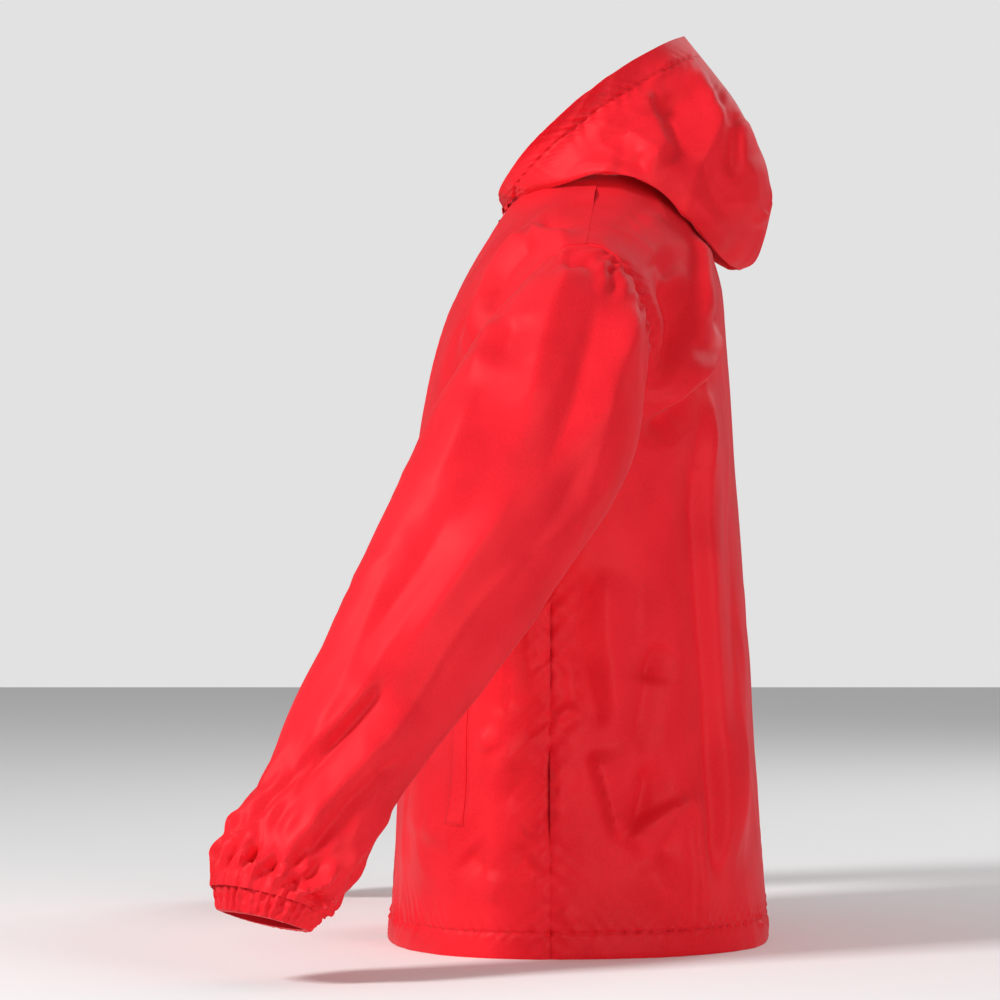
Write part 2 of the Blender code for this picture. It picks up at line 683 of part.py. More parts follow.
def zip_parts(tape, teeth, metal, facing):
    bottom = front_length() - ZIP_BOTTOM_GAP
    fitting_top = bottom - END_FITTING
    stop_bottom = ZIP_GAP + STOP_LENGTH
    tape_back = TAPE_FACE + TAPE_THICKNESS
    facing_columns = [FACING_COLUMNS[0] + (FACING_COLUMNS[1] - FACING_COLUMNS[0]) * i / 3 for i in range(4)]
    facing_rows = [0.005] + [r for r in body_rows() if 0.02 < r < 0.98] + [0.985]
    facing_depth = tape_back + 5 * AIR
    for word, side in (("left", 1), ("right", -1)):
        near, far = side * TEETH_INNER_X, side * TEETH_OUTER_X
        tape_near = side * (TEETH_OUTER_X + ZIP_GAP)
        strip("zip_tape_" + word, ZIP_GAP, bottom, (tape_near, side * TAPE_OUTER_X),
              (-TAPE_FACE, -tape_back), tape)
        strip("zip_teeth_" + word, stop_bottom + ZIP_GAP, fitting_top - ZIP_GAP, (near, far),
              (-TEETH_FACE, -TEETH_BACK), teeth)
        strip("zip_top_stop_" + word, ZIP_GAP, stop_bottom, (near, far),
              (-TEETH_FACE + AIR / 2, -TEETH_BACK - AIR / 2), teeth, 1)
        surface = on_facets(body_surface(side, True, ZIP_EDGE_X), columns_from(ZIP_EDGE_X), body_rows())
        patch("zip_facing_" + word, surface, facing_columns, facing_rows,
              (facing_depth, facing_depth + FACING), facing, (0, -1, 0), (2, 2))
    strip("zip_insertion_pin", fitting_top, bottom, (TEETH_INNER_X, TEETH_OUTER_X),
          (-TEETH_FACE, -TEETH_BACK - AIR / 4), metal, 1)
    strip("zip_retainer_box", fitting_top, bottom, (-TEETH_OUTER_X, -TEETH_INNER_X),
          (-TEETH_FACE + AIR, -TEETH_BACK - AIR), metal, 1)


def disc_profile(radius, count=16):
    return [(radius * math.cos(2 * math.pi * i / count), radius * math.sin(2 * math.pi * i / count))
            for i in range(count)]


def slider(finish):
    """Two plates joined by a thin wedge between the tooth rows, with a drilled lug in front."""
    start = ZIP_GAP + STOP_LENGTH + ZIP_GAP
    end = start + SLIDER_LENGTH
    width = (-SLIDER_HALF_WIDTH, SLIDER_HALF_WIDTH)
    back_face = TEETH_BACK + AIR
    made = strip("zip_slider", start, end, width, (SLIDER_TOP_FACE, SLIDER_TOP_FACE - PLATE), finish, 2)
    back = strip("slider_back", start, end, width, (-back_face, -back_face - PLATE), finish, 2)
    web = strip("slider_web", start + WEB[0], start + WEB[1], (-WEB[2], WEB[2]), (0.0, -WEB[3]), finish, 1)
    lug_place, _, out = front_frame(start + LUG_PLACE)
    centre = lug_place + out * LUG_HEIGHT
    lug = bar_along_x("slider_lug", centre, LUG_RADIUS, LUG_HALF_LENGTH, finish)
    foot = strip("slider_foot", start + LUG_FOOT[0], start + LUG_FOOT[1], (-LUG_FOOT[2], LUG_FOOT[2]),
                 (LUG_FOOT[3], 0.0), finish, 1)
    hole = bar_along_x("slider_hole", centre, LUG_HOLE_RADIUS, LUG_HOLE_HALF_LENGTH, finish)
    for other in (back, web, lug, foot):
        join(made, other, "UNION")
    join(made, hole, "DIFFERENCE")
    set_origin(made, np.array((0.0, ARC_Y, ARC_Z)))
    return centre, out


def bar_along_x(name, centre, radius, half_length, finish, count=16):
    ring = disc_profile(radius, count)
    vertices = []
    for x in (-half_length, half_length):
        vertices.extend(centre + np.array((x, a, b)) for a, b in ring)
    faces = [tuple(reversed(range(count))), tuple(range(count, 2 * count))]
    faces += [(i, (i + 1) % count, count + (i + 1) % count, count + i) for i in range(count)]
    return mesh_object(name, vertices, faces, finish)


def join(target, other, operation):
    change = target.modifiers.new(operation.lower(), "BOOLEAN")
    change.operation = operation
    change.object = other
    depsgraph = bpy.context.evaluated_depsgraph_get()
    mesh = bpy.data.meshes.new_from_object(target.evaluated_get(depsgraph))
    target.modifiers.clear()
    target.data = mesh
    bpy.data.objects.remove(other, do_unlink=True)


def set_origin(made, place):
    made.data.transform(Matrix.Translation(tuple(-place)))
    made.location = tuple(place)


def puller(pivot, out, finish):
    """Flat tab with a window, hung by a cross pin through the slider's lug."""
    down = np.array((0.0, -out[2], out[1]))
    side_x = np.array((1.0, 0, 0))
    half = PULLER_HALF_WIDTH

    def slab(name, top, bottom, x0, x1, depth=PULLER_HALF_THICKNESS):
        corners = []
        for level in (top, bottom):
            for x, d in ((x0, -depth), (x1, -depth), (x1, depth), (x0, depth)):
                corners.append(pivot + down * level + side_x * x + out * d)
        return block(name, corners, finish)

    made = bar_along_x("zip_puller", pivot, PIN_RADIUS, half - AIR / 2, finish, 12)
    pieces = [slab("arm_a", ARM_TOP, ARM_BOTTOM, -half, -half + ARM_WIDTH),
              slab("arm_b", ARM_TOP, ARM_BOTTOM, half - ARM_WIDTH, half),
              slab("tab", TAB_TOP, PULLER_LENGTH, -half, half)]
    for piece in pieces:
        join(made, piece, "UNION")
    window = slab("window", WINDOW[0], PULLER_LENGTH - WINDOW[1], -WINDOW[2], WINDOW[2], WINDOW[3])
    join(made, window, "DIFFERENCE")
    set_origin(made, pivot)


# ---------------------------------------------------------------- neck
TAPE_TOP = 0.985          # rows and columns below are shares of the back panel's height and half width
TAPE_HEIGHT = 0.016
TAPE_HALF_LENGTH = 0.20
LABEL_ROWS = (0.925, 0.981)
LABEL_COLUMNS = (-0.075, -0.005)
LABEL_THICKNESS = 0.0005
LOOP_ROWS = (0.968, 0.976)
LOOP_COLUMNS = (0.02, 0.12)
LOOP_STEPS = 8
LOOP_CLEARANCE = 0.0015
LOOP_BOW = 0.007
LOOP_THICKNESS = 0.0009


def evenly(ends, steps):
    return [ends[0] + (ends[1] - ends[0]) * i / steps for i in range(steps + 1)]


def neck_parts(tape, label):
    surface = on_facets(whole_back, back_columns(), body_rows())
    columns = evenly((-TAPE_HALF_LENGTH, TAPE_HALF_LENGTH), 10)
    depth = CLOTH + 4 * AIR
    rows = evenly((TAPE_TOP - TAPE_HEIGHT, TAPE_TOP), 2)
    patch("neck_tape", surface, columns, rows, (depth, depth + FACING), tape, (0, 1, 0), (1, 5))
    inner = depth + FACING + 2 * AIR
    patch("care_label", surface, evenly(LABEL_COLUMNS, 2), evenly(LABEL_ROWS, 3),
          (inner, inner + LABEL_THICKNESS), label, (0, 1, 0), (1, 1))
    hanger_loop(surface, inner, tape)


def hanger_loop(surface, depth, finish):
    """Short bowed strap inside the nape."""
    columns = evenly(LOOP_COLUMNS, LOOP_STEPS)
    grid = np.array([[surface(u, v) for u in columns] for v in LOOP_ROWS])
    inward = np.array((0, -1.0, 0))
    arch = np.sin(math.pi * np.arange(LOOP_STEPS + 1) / LOOP_STEPS)
    bow = depth + LOOP_CLEARANCE + LOOP_BOW * arch
    outer = grid + bow[None, :, None] * inward
    inner = outer + LOOP_THICKNESS * inward
    between("hanger_loop", outer, inner, finish)


def build():
    clear_scene()
    cloth = material("red_taffeta", RED, 0.5)
    casing = material("red_casing", DARK_RED, 0.55)
    teeth = material("black_teeth", BLACK, 0.35)
    tape = material("black_tape", BLACK, 0.85)
    metal = material("dark_metal", BLACK, 0.3, 0.6)
    bright = material("bright_metal", SILVER, 0.22, 1.0)
    elastic = material("elastic", WHITE, 0.8)
    body_panels(cloth)
    hem_facings(casing)
    pockets(cloth, casing)
    sleeves(cloth, casing, elastic)
    hood(cloth, casing)
    zip_parts(tape, teeth, metal, casing)
    pivot, out = slider(metal)
    puller(pivot, out, bright)
    neck_parts(casing, elastic)


build()
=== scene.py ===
"""Light hooded windbreaker with a front zip, standing on its hem as if worn. Metres, +Z up."""
import math
import bpy
import numpy as np
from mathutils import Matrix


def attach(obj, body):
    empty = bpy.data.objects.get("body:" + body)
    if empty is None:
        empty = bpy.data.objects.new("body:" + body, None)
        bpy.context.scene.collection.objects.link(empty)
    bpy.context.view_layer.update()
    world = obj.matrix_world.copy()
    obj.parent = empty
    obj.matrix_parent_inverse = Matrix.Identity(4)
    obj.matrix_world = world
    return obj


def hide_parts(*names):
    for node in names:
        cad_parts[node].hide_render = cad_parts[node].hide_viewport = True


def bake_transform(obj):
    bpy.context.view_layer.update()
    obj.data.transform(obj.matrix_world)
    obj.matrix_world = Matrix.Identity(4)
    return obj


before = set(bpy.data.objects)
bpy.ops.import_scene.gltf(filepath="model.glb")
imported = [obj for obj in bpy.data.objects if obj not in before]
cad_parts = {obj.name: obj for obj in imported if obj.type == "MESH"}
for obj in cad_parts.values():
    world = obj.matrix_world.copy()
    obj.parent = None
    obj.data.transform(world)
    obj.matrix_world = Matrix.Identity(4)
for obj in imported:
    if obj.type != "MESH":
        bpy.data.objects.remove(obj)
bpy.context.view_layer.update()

# ------------------------------------------------------------------ camera
# Level side view from the wearer's left, at the height of the elbow.
eye = bpy.data.cameras.new("side_view")
eye.sensor_width = 36.0
eye.lens = 168.75
camera = bpy.data.objects.new("side_view", eye)
camera.location = (4.5, -0.0077, 0.4195)
camera.rotation_euler = (math.pi / 2, 0.0, math.pi / 2)
bpy.context.scene.collection.objects.link(camera)
bpy.context.scene.camera = camera

# ------------------------------------------------------------------ front panels
# Two fronts of thin red taffeta, coated on the inside, cut with a high round neck and a
# deep armhole. Each is sewn to the back at the side and the shoulder, and to the zip.
LEFT, RIGHT = 1, -1
CLOTH = 0.0006
ARM_X = 0.235
HEM_HALF_WIDTH = 0.222
UNDERARM_Z = 0.447
SHOULDER_Z = 0.652
NECK_HALF_WIDTH = 0.085
NECK_FRONT_Z = 0.6905
NECK_BACK_Z = 0.722
PLAN_ROUNDNESS = 2.3
ZIP_EDGE_X = 0.0065
FRONT_RADIUS = 0.500
FRONT_TOP_LEAN = math.radians(34.0)
FRONT_LOW_LEAN = math.radians(3.4)
ARC_Y = -0.0015 + FRONT_RADIUS * math.cos(FRONT_TOP_LEAN)
ARC_Z = NECK_FRONT_Z - FRONT_RADIUS * math.sin(FRONT_TOP_LEAN)
ARC_END_Y = ARC_Y - FRONT_RADIUS * math.cos(FRONT_LOW_LEAN)
ARC_END_Z = ARC_Z + FRONT_RADIUS * math.sin(FRONT_LOW_LEAN)


def smoothstep(t):
    t = np.clip(t, 0.0, 1.0)
    return t * t * (3.0 - 2.0 * t)


def unit(vectors):
    vectors = np.asarray(vectors, float)
    return vectors / np.maximum(np.linalg.norm(vectors, axis=-1, keepdims=True), 1e-9)


def front_line(z):
    """y of the centre front at height z: straight below, an arc over the chest."""
    straight = ARC_END_Y - (ARC_END_Z - z) * math.tan(FRONT_LOW_LEAN)
    arc = ARC_Y - np.sqrt(FRONT_RADIUS ** 2 - np.clip(z - ARC_Z, 0.0, 0.45) ** 2)
    return np.where(z < ARC_END_Z, straight, arc)


def back_line(z):
    return 0.2475 - 0.068 * z - 2.38 * np.maximum(z - 0.6, 0.0) ** 2


def side_line(x, z):
    """y where front and back meet: up the side seam, then leaning back along the shoulder."""
    rise = smoothstep((z - 0.30) / (SHOULDER_Z - 0.30))
    return 0.038 + 0.0335 * rise + 0.09 * (ARM_X - x) * rise


def half_width(z):
    """Half the width of the body, which spreads past the armhole's plane over the chest."""
    spread = 0.036
    low, high = 0.38, 0.60
    at_underarm = smoothstep((UNDERARM_Z - low) / (high - low))
    below = ARM_X - spread * at_underarm
    straight = HEM_HALF_WIDTH + (below - HEM_HALF_WIDTH) * np.minimum(z / UNDERARM_Z, 1.0)
    return straight + spread * smoothstep((z - low) / (high - low))


def shoulder_height(x):
    slope = 0.49
    crest = 0.5 * NECK_HALF_WIDTH * (1.0 - (np.minimum(x, NECK_HALF_WIDTH) / NECK_HALF_WIDTH) ** 2)
    run = np.where(x >= NECK_HALF_WIDTH, ARM_X - x, ARM_X - NECK_HALF_WIDTH + crest)
    return SHOULDER_Z + slope * run


def roundover(x, z):
    """Share of the body's depth left just under the shoulder."""
    gap = np.clip((shoulder_height(x) - z) / 0.13, 0.0, 1.0)
    return (1.0 - (1.0 - gap) ** 2.2) ** (1.0 / 2.2)


def neckline_height(x, is_front):
    start = NECK_FRONT_Z if is_front else NECK_BACK_Z
    point = float(shoulder_height(np.array(NECK_HALF_WIDTH)))
    curve = start + (point - start) * (np.minimum(x, NECK_HALF_WIDTH) / NECK_HALF_WIDTH) ** 2.2
    return np.where(x >= NECK_HALF_WIDTH, shoulder_height(x), curve)


def round_the_body(f, z, start_x):
    """x at fraction f of the way from the centre to the side seam or the armhole."""
    width = half_width(z)
    power = PLAN_ROUNDNESS / 2.0
    first = np.arcsin((start_x / width) ** power)
    last = np.where(width <= ARM_X, math.pi / 2, np.arcsin(np.minimum(ARM_X / width, 1.0) ** power))
    return width * np.sin(first + (last - first) * f) ** (1.0 / power)


def depth_at(x, z, is_front):
    share = np.maximum(1.0 - (x / half_width(z)) ** PLAN_ROUNDNESS, 0.0) ** (1.0 / PLAN_ROUNDNESS)
    line = front_line(z) if is_front else back_line(z)
    return (line - side_line(0.0, z)) * share * roundover(x, z) / roundover(0.0 * x, z)


def body_grid(columns, rows, side, is_front, start_x):
    """Points on a panel: columns round from the centre, rows up from the hem."""
    f = np.asarray(columns)[None, :]
    top = np.full(f.shape, float(shoulder_height(np.array(NECK_HALF_WIDTH))))
    for _ in range(40):
        top = 0.5 * (top + neckline_height(round_the_body(f, top, start_x), is_front))
    z = np.asarray(rows)[:, None] * top
    x = round_the_body(f, z, start_x)
    y = side_line(x, z) + depth_at(x, z, is_front)
    return np.stack((side * x, y, z), axis=-1)


def grid_normals(points, outward, closed=False):
    """Unit normals of a grid of points, on the side that the sample direction gives."""
    if closed:
        across = np.roll(points, -1, axis=1) - np.roll(points, 1, axis=1)
    else:
        across = np.gradient(points, axis=1)
    normals = unit(np.cross(across, np.gradient(points, axis=0)))
    middle = (points.shape[0] // 2, points.shape[1] // 2)
    return -normals if np.dot(normals[middle], outward) < 0 else normals


def panel_rows():
    """Rows up a body panel: close together at the hem's stitching, one at the underarm."""
    under = UNDERARM_Z / SHOULDER_Z
    hem = np.array((0.0, 0.0012, 0.003, 0.007, 0.011, 0.015, 0.019, 0.0215, 0.0232, 0.024, 0.0248,
                    0.0265, 0.029, 0.032)) / SHOULDER_Z
    low = np.linspace(hem[-1] + 0.0045, under, 128)
    share = np.linspace(0.0, 1.0, 73)[1:]
    high = under + (1.0 - under) * (0.5 * share + 0.25 * (1 - np.cos(math.pi * share)))
    return np.concatenate((hem, low, high)), len(hem) + len(low) - 1


def seam_columns(count):
    """Columns from centre to side, close together along the side seam."""
    seam = 1.0 - np.array((0.016, 0.009, 0.0045, 0.0018, 0.0))
    return np.concatenate((np.linspace(0.0, 0.984 - 0.5 / count, count), seam))


ROWS, UNDER_ROW = panel_rows()
FRONT_COLUMNS = seam_columns(128)


def along_path(points, path):
    """Distance from each point to a drawn path, signed to its left, and the place along it."""
    path = np.asarray(path, float) / 1000.0
    best = np.full(points.shape[:-1], 1e9)
    signed = np.zeros_like(best)
    place = np.zeros_like(best)
    lengths = np.linalg.norm(np.diff(path, axis=0), axis=1)
    total = lengths.sum()
    walked = 0.0
    for (a, b), length in zip(zip(path[:-1], path[1:]), lengths):
        run = (b - a) / length
        offset = points - a
        t = np.clip(offset @ run, 0.0, length)
        away = offset - t[..., None] * run
        distance = np.linalg.norm(away, axis=-1)
        side = np.sign(run[0] * offset[..., 1] - run[1] * offset[..., 0])
        nearer = distance < best
        best = np.where(nearer, distance, best)
        signed = np.where(nearer, side * distance, signed)
        place = np.where(nearer, (walked + t) / total, place)
        walked += length
    return signed, place


def fold_height(points, folds):
    """Height of drawn folds at flat points, in metres.

    A fold is (height, left width, right width, start taper, end taper, path), in millimetres;
    left is the left-hand side while walking along the path.
    """
    height = np.zeros(points.shape[:-1])
    for tall, left, right, start, end, path in folds:
        away, place = along_path(points, path)
        width = np.where(away > 0, left, right) / 1000.0
        swell = smoothstep(place / max(start, 1e-3)) * smoothstep((1.0 - place) / max(end, 1e-3))
        reach = 1.9 * width
        crisp = np.sqrt(away ** 2 + 0.0014 ** 2) - 0.0014
        height += tall / 1000.0 * (1.0 - np.minimum(crisp / reach, 1.0)) ** 1.5 * swell
    return height


def soft_noise(points, size, seed):
    """Smooth random height from -1 to 1, with waves of about the given size."""
    random = np.random.default_rng(seed)
    total = np.zeros(points.shape[:-1])
    for _ in range(7):
        way = unit(random.normal(size=3)) * 2 * math.pi / (size * random.uniform(0.7, 1.5))
        total += np.sin(points @ way + random.uniform(0, 6.28))
    return total / 3.5


def creases(points, size, seed, grain):
    """Short sharp creases that thin, crisp cloth keeps, from 0 to 1, mostly along its grain."""
    random = np.random.default_rng(seed)
    grain = unit(grain)
    points = points - 0.68 * (points @ grain)[..., None] * grain
    height = np.zeros(points.shape[:-1])
    for _ in range(9):
        way = unit(random.normal(size=3)) * math.pi / (size * random.uniform(0.8, 1.8))
        across = unit(random.normal(size=3)) * 2 * math.pi / (size * random.uniform(2.0, 3.5))
        bend = 0.7 * np.sin(points @ across + random.uniform(0, 6.28))
        ridge = 1.0 - np.abs(np.sin(points @ way + bend + random.uniform(0, 6.28)))
        window = smoothstep(0.1 + 0.9 * np.sin(points @ across[::-1] + random.uniform(0, 6.28)))
        height = np.maximum(height, ridge ** 2 * window)
    return height


# Folds that show from the side, as (y, z) in millimetres.
SIDE_FOLDS_FRONT = (
    (17.1, 16, 6, 0.12, 0.5, ((23, 668), (11, 655), (-3, 641), (-13, 627), (-21, 603), (-30, 580), (-42, 557), (-54, 537))),
    (-13.3, 9, 12, 0.15, 0.5, ((29, 658), (14, 643), (0, 629), (-9, 610), (-15, 586), (-24, 562))),
    (11.4, 5, 9, 0.2, 0.3, ((22, 667), (34, 662), (47, 660), (62, 660))),
    (-7.6, 6, 6, 0.3, 0.3, ((29, 671), (44, 667), (58, 668))),
    (6.6, 12, 12, 0.3, 0.6, ((61, 695), (34, 682), (6, 658), (-17, 632), (-37, 603))),
    (-4.8, 10, 10, 0.3, 0.6, ((47, 698), (20, 682), (-3, 660), (-26, 630), (-43, 603))),
    (4.2, 5, 9, 0.3, 0.4, ((66, 708), (75, 703), (84, 697))),
    (4.8, 8, 12, 0.3, 0.4, ((-35, 603), (-49, 575), (-61, 543), (-70, 511))),
    (-4.8, 9, 9, 0.3, 0.4, ((-24, 612), (-39, 580), (-52, 548), (-63, 516))),
    (6.6, 14, 7, 0.3, 0.4, ((32, 214), (12, 192), (-3, 175), (-19, 167))),
    (-4.8, 10, 10, 0.3, 0.4, ((20, 181), (3, 153), (-8, 131))),
    (6.6, 10, 4, 0.2, 0.3, ((14, 115), (23, 119), (34, 114))),
    (5.7, 7, 5, 0.3, 0.3, ((18, 102), (27, 93), (36, 82))),
    (-5.7, 10, 10, 0.3, 0.3, ((12, 109), (14, 89), (23, 71))),
    (5.7, 18, 18, 0.3, 0.4, ((-72, 98), (-63, 117), (-48, 120), (-35, 108))),
    (-5.7, 14, 14, 0.3, 0.4, ((-40, 98), (-28, 87), (-15, 84))),
    (4.8, 14, 14, 0.3, 0.4, ((-8, 80), (-11, 62), (-17, 48))),
    (5.7, 3, 8, 0.3, 0.3, ((-92, 163), (-95, 117), (-96, 84), (-101, 62))),
    (5.7, 16, 16, 0.3, 0.3, ((-81, 181), (-83, 126), (-76, 80), (-63, 53))),
    (4.8, 10, 6, 0.3, 0.3, ((-28, 206), (-21, 198), (-15, 188))),
    (7.6, 14, 14, 0.3, 0.3, ((20, 328), (18, 282), (22, 236))),
    (-5.7, 12, 12, 0.3, 0.3, ((3, 282), (0, 245), (-3, 218))),
)
SIDE_FOLDS_BACK = (
    (-18, 11, 10, 0.25, 0.35, ((134, 632), (150, 610), (158, 586), (156, 561), (146, 538), (133, 518))),
    (18, 30, 3.2, 0.15, 0.25, ((172, 672), (174, 646), (173, 600), (165, 567), (151, 541), (131, 515))),
    (-10, 10, 8, 0.3, 0.3, ((197, 603), (186, 582), (175, 561), (161, 540))),
    (18, 9, 12, 0.2, 0.25, ((195, 590), (184, 562), (164, 531), (142, 509), (125, 493))),
    (-16, 12, 10, 0.25, 0.3, ((190, 557), (175, 527), (155, 502), (134, 485), (120, 470))),
    (12, 16, 4, 0.15, 0.1, ((195, 537), (186, 506), (182, 467), (181, 401), (186, 328), (194, 236), (197, 154), (195, 63))),
    (-8, 10, 12, 0.2, 0.1, ((175, 493), (173, 420), (178, 328), (186, 236), (189, 145), (187, 63))),
    (8, 10, 12, 0.25, 0.2, ((219, 420), (216, 328), (216, 236), (212, 145), (206, 72))),
    (-6, 10, 10, 0.25, 0.2, ((208, 447), (206, 365), (207, 255), (205, 182))),
    (7, 14, 3, 0.3, 0.15, ((166, 172), (174, 117), (177, 53), (177, 12))),
    (-7, 14, 12, 0.25, 0.2, ((142, 291), (134, 271), (130, 251))),
    (10, 16, 14, 0.2, 0.3, ((89, 365), (87, 310), (93, 246), (101, 189))),
    (-8, 12, 12, 0.3, 0.3, ((67, 291), (76, 246), (87, 204))),
    (-10, 14, 16, 0.25, 0.35, ((142, 291), (130, 255), (120, 218), (113, 182))),
    (12, 18, 4, 0.2, 0.25, ((76, 193), (89, 150), (101, 104))),
    (-14, 14, 18, 0.3, 0.3, ((116, 182), (130, 159), (120, 131), (106, 110))),
    (12, 3.5, 18, 0.2, 0.3, ((102, 103), (123, 121), (148, 136), (174, 150))),
    (-8, 14, 14, 0.3, 0.3, ((166, 145), (150, 108), (134, 81))),
    (7, 16, 16, 0.3, 0.4, ((120, 90), (139, 63), (166, 49))),
    (8, 4, 7, 0.25, 0.35, ((41, 219), (50, 224), (60, 234))),
    (-6, 5, 5, 0.3, 0.3, ((44, 214), (53, 218), (60, 225))),
    (8, 12, 12, 0.3, 0.4, ((44, 200), (47, 154), (45, 99))),
    (6, 3, 7, 0.3, 0.4, ((46, 49), (53, 42), (60, 31))),
    (-6, 8, 8, 0.3, 0.4, ((53, 291), (58, 246), (64, 209))),
    (-8, 12, 10, 0.3, 0.3, ((130, 644), (141, 637), (150, 623))),
    (5, 20, 20, 0.3, 0.3, ((120, 685), (143, 662), (157, 639))),
)


def facing_side(normals, side):
    return smoothstep((side * normals[..., 0] - 0.05) / 0.4)


def panel_relief(points, facing, folds, seed):
    """Folds, creases and soft unevenness of a body panel, as heights along its normals."""
    height = fold_height(points[..., 1:], folds) * facing
    height = height + 0.0009 * soft_noise(points, 0.16, seed)
    return height + 0.0017 * creases(points, 0.060, seed, (0.0, 0.0, 1.0))


def pucker(along, away, pitch, reach, seed):
    """Ripples that gathers or a tight seam pull into cloth, across the seam's own line."""
    random = np.random.default_rng(seed)
    wave = np.zeros(np.broadcast(along, away).shape)
    for _ in range(4):
        wave += np.sin(along * 2 * math.pi / (pitch * random.uniform(0.7, 1.6)) + random.uniform(0, 6.28)
                       + 6.0 * away / reach * random.uniform(-1, 1))
    return wave / 4.0 * np.exp(-away / reach)


def hem_relief(z):
    """The hem's tunnel stands a little proud and its stitching draws in."""
    tunnel = 0.0012 * smoothstep(z / 0.004) * smoothstep((0.0245 - z) / 0.004)
    return tunnel - 0.0014 * np.exp(-((z - 0.024) / 0.0013) ** 2)


def lengths_along(line):
    """Distance walked at each point of a line."""
    return np.concatenate(([0.0], np.cumsum(np.linalg.norm(np.diff(line, axis=0), axis=-1))))


def relieve_panel(points, facing, ruching, folds, seed):
    """Panel with its folds, its puckers and its sunk seams."""
    z = points[..., 2]
    height = panel_relief(points, facing, folds, seed)
    girth = lengths_along(points[40])
    to_side = (girth[-1] - girth)[None, :]
    below_arm = smoothstep((UNDERARM_Z - z) / 0.03)
    height += 0.0036 * pucker(z, to_side, 0.019, 0.018, 31) * below_arm
    height -= 0.0014 * np.exp(-(to_side / 0.0022) ** 2) * below_arm
    by_armhole = smoothstep((z - UNDERARM_Z) / 0.03) * smoothstep((SHOULDER_Z - z) / 0.03)
    height += ruching * pucker(z, to_side, 0.011, 0.024, seed + 3) * by_armhole
    above = np.maximum(z - 0.024, 0.0) + np.maximum(0.024 - z, 0.0) * 1.5
    height += 0.0030 * pucker(girth[None, :], above, 0.010, 0.014, seed + 2) * smoothstep(to_side / 0.012)
    height += hem_relief(z)
    return height


cloths = {}


def flatten_seams(normals, columns):
    """Normals that keep the seams' edges shared: side, armhole and hem."""
    normals = normals.copy()
    side_x = np.sign(normals[:UNDER_ROW, -2:-1, 0])
    blend = smoothstep((np.asarray(columns) - 0.93) / 0.07)[None, :, None]
    low = np.zeros_like(normals[:UNDER_ROW + 1])
    low[..., 0] = side_x[0, 0]
    normals[:UNDER_ROW + 1] = unit(normals[:UNDER_ROW + 1] * (1 - blend) + low * blend)
    high = normals[UNDER_ROW + 1:].copy()
    high[..., 0] *= 1 - blend[..., 0]
    normals[UNDER_ROW + 1:] = unit(high)
    normals[0, :, 2] = 0.0
    return unit(normals)


def cloth_mesh(name, points, normals, thickness, finish, closed=False):
    """Sheet of cloth with a real thickness, its own flat coordinates in metres and outward faces."""
    rows, columns = points.shape[:2]
    inner = points - thickness * normals
    vertices = np.concatenate((points.reshape(-1, 3), inner.reshape(-1, 3)))
    half = rows * columns
    wrap = columns if closed else columns - 1
    r, c = np.meshgrid(np.arange(rows - 1), np.arange(wrap), indexing="ij")
    d = (c + 1) % columns
    quads = np.stack((r * columns + c, r * columns + d, (r + 1) * columns + d, (r + 1) * columns + c), -1)
    quads = quads.reshape(-1, 4)
    middle = quads[len(quads) // 2 + wrap // 2]
    a, b, e = (points.reshape(-1, 3)[i] for i in middle[:3])
    if np.dot(np.cross(b - a, e - b), normals.reshape(-1, 3)[middle[0]]) < 0:
        quads = quads[:, ::-1]
    faces = [quads, quads[:, ::-1] + half]
    edges = {}
    for quad in quads:
        for i in range(4):
            edges[(quad[i], quad[(i + 1) % 4])] = True
    rim = [(b, a, a + half, b + half) for a, b in edges if (b, a) not in edges]
    faces.append(np.array(rim))
    mesh = bpy.data.meshes.new(name)
    mesh.from_pydata(vertices.tolist(), [], np.concatenate(faces).tolist())
    across = np.linalg.norm(np.diff(points, axis=1), axis=-1).mean(axis=0)
    up = np.linalg.norm(np.diff(points, axis=0), axis=-1).mean(axis=1)
    u = np.broadcast_to(np.concatenate(([0.0], np.cumsum(across)))[None, :], (rows, columns))
    v = np.broadcast_to(np.concatenate(([0.0], np.cumsum(up)))[:, None], (rows, columns))
    flat = np.stack((u, v), axis=-1).reshape(-1, 2)
    flat = np.concatenate((flat, flat))
    corners = np.empty(len(mesh.loops), dtype=np.int32)
    mesh.loops.foreach_get("vertex_index", corners)
    mesh.uv_layers.new(name="flat").data.foreach_set("uv", flat[corners].ravel())
    mesh.shade_smooth()
    mesh.set_sharp_from_angle(angle=math.radians(60))
    mesh.materials.append(finish)
    made = bpy.data.objects.new(name, mesh)
    bpy.context.scene.collection.objects.link(made)
    return made


def node(tree, kind, **values):
    made = tree.nodes.new(kind)
    for key, value in values.items():
        if key in made.inputs:
            made.inputs[key].default_value = value
        else:
            setattr(made, key, value)
    return made


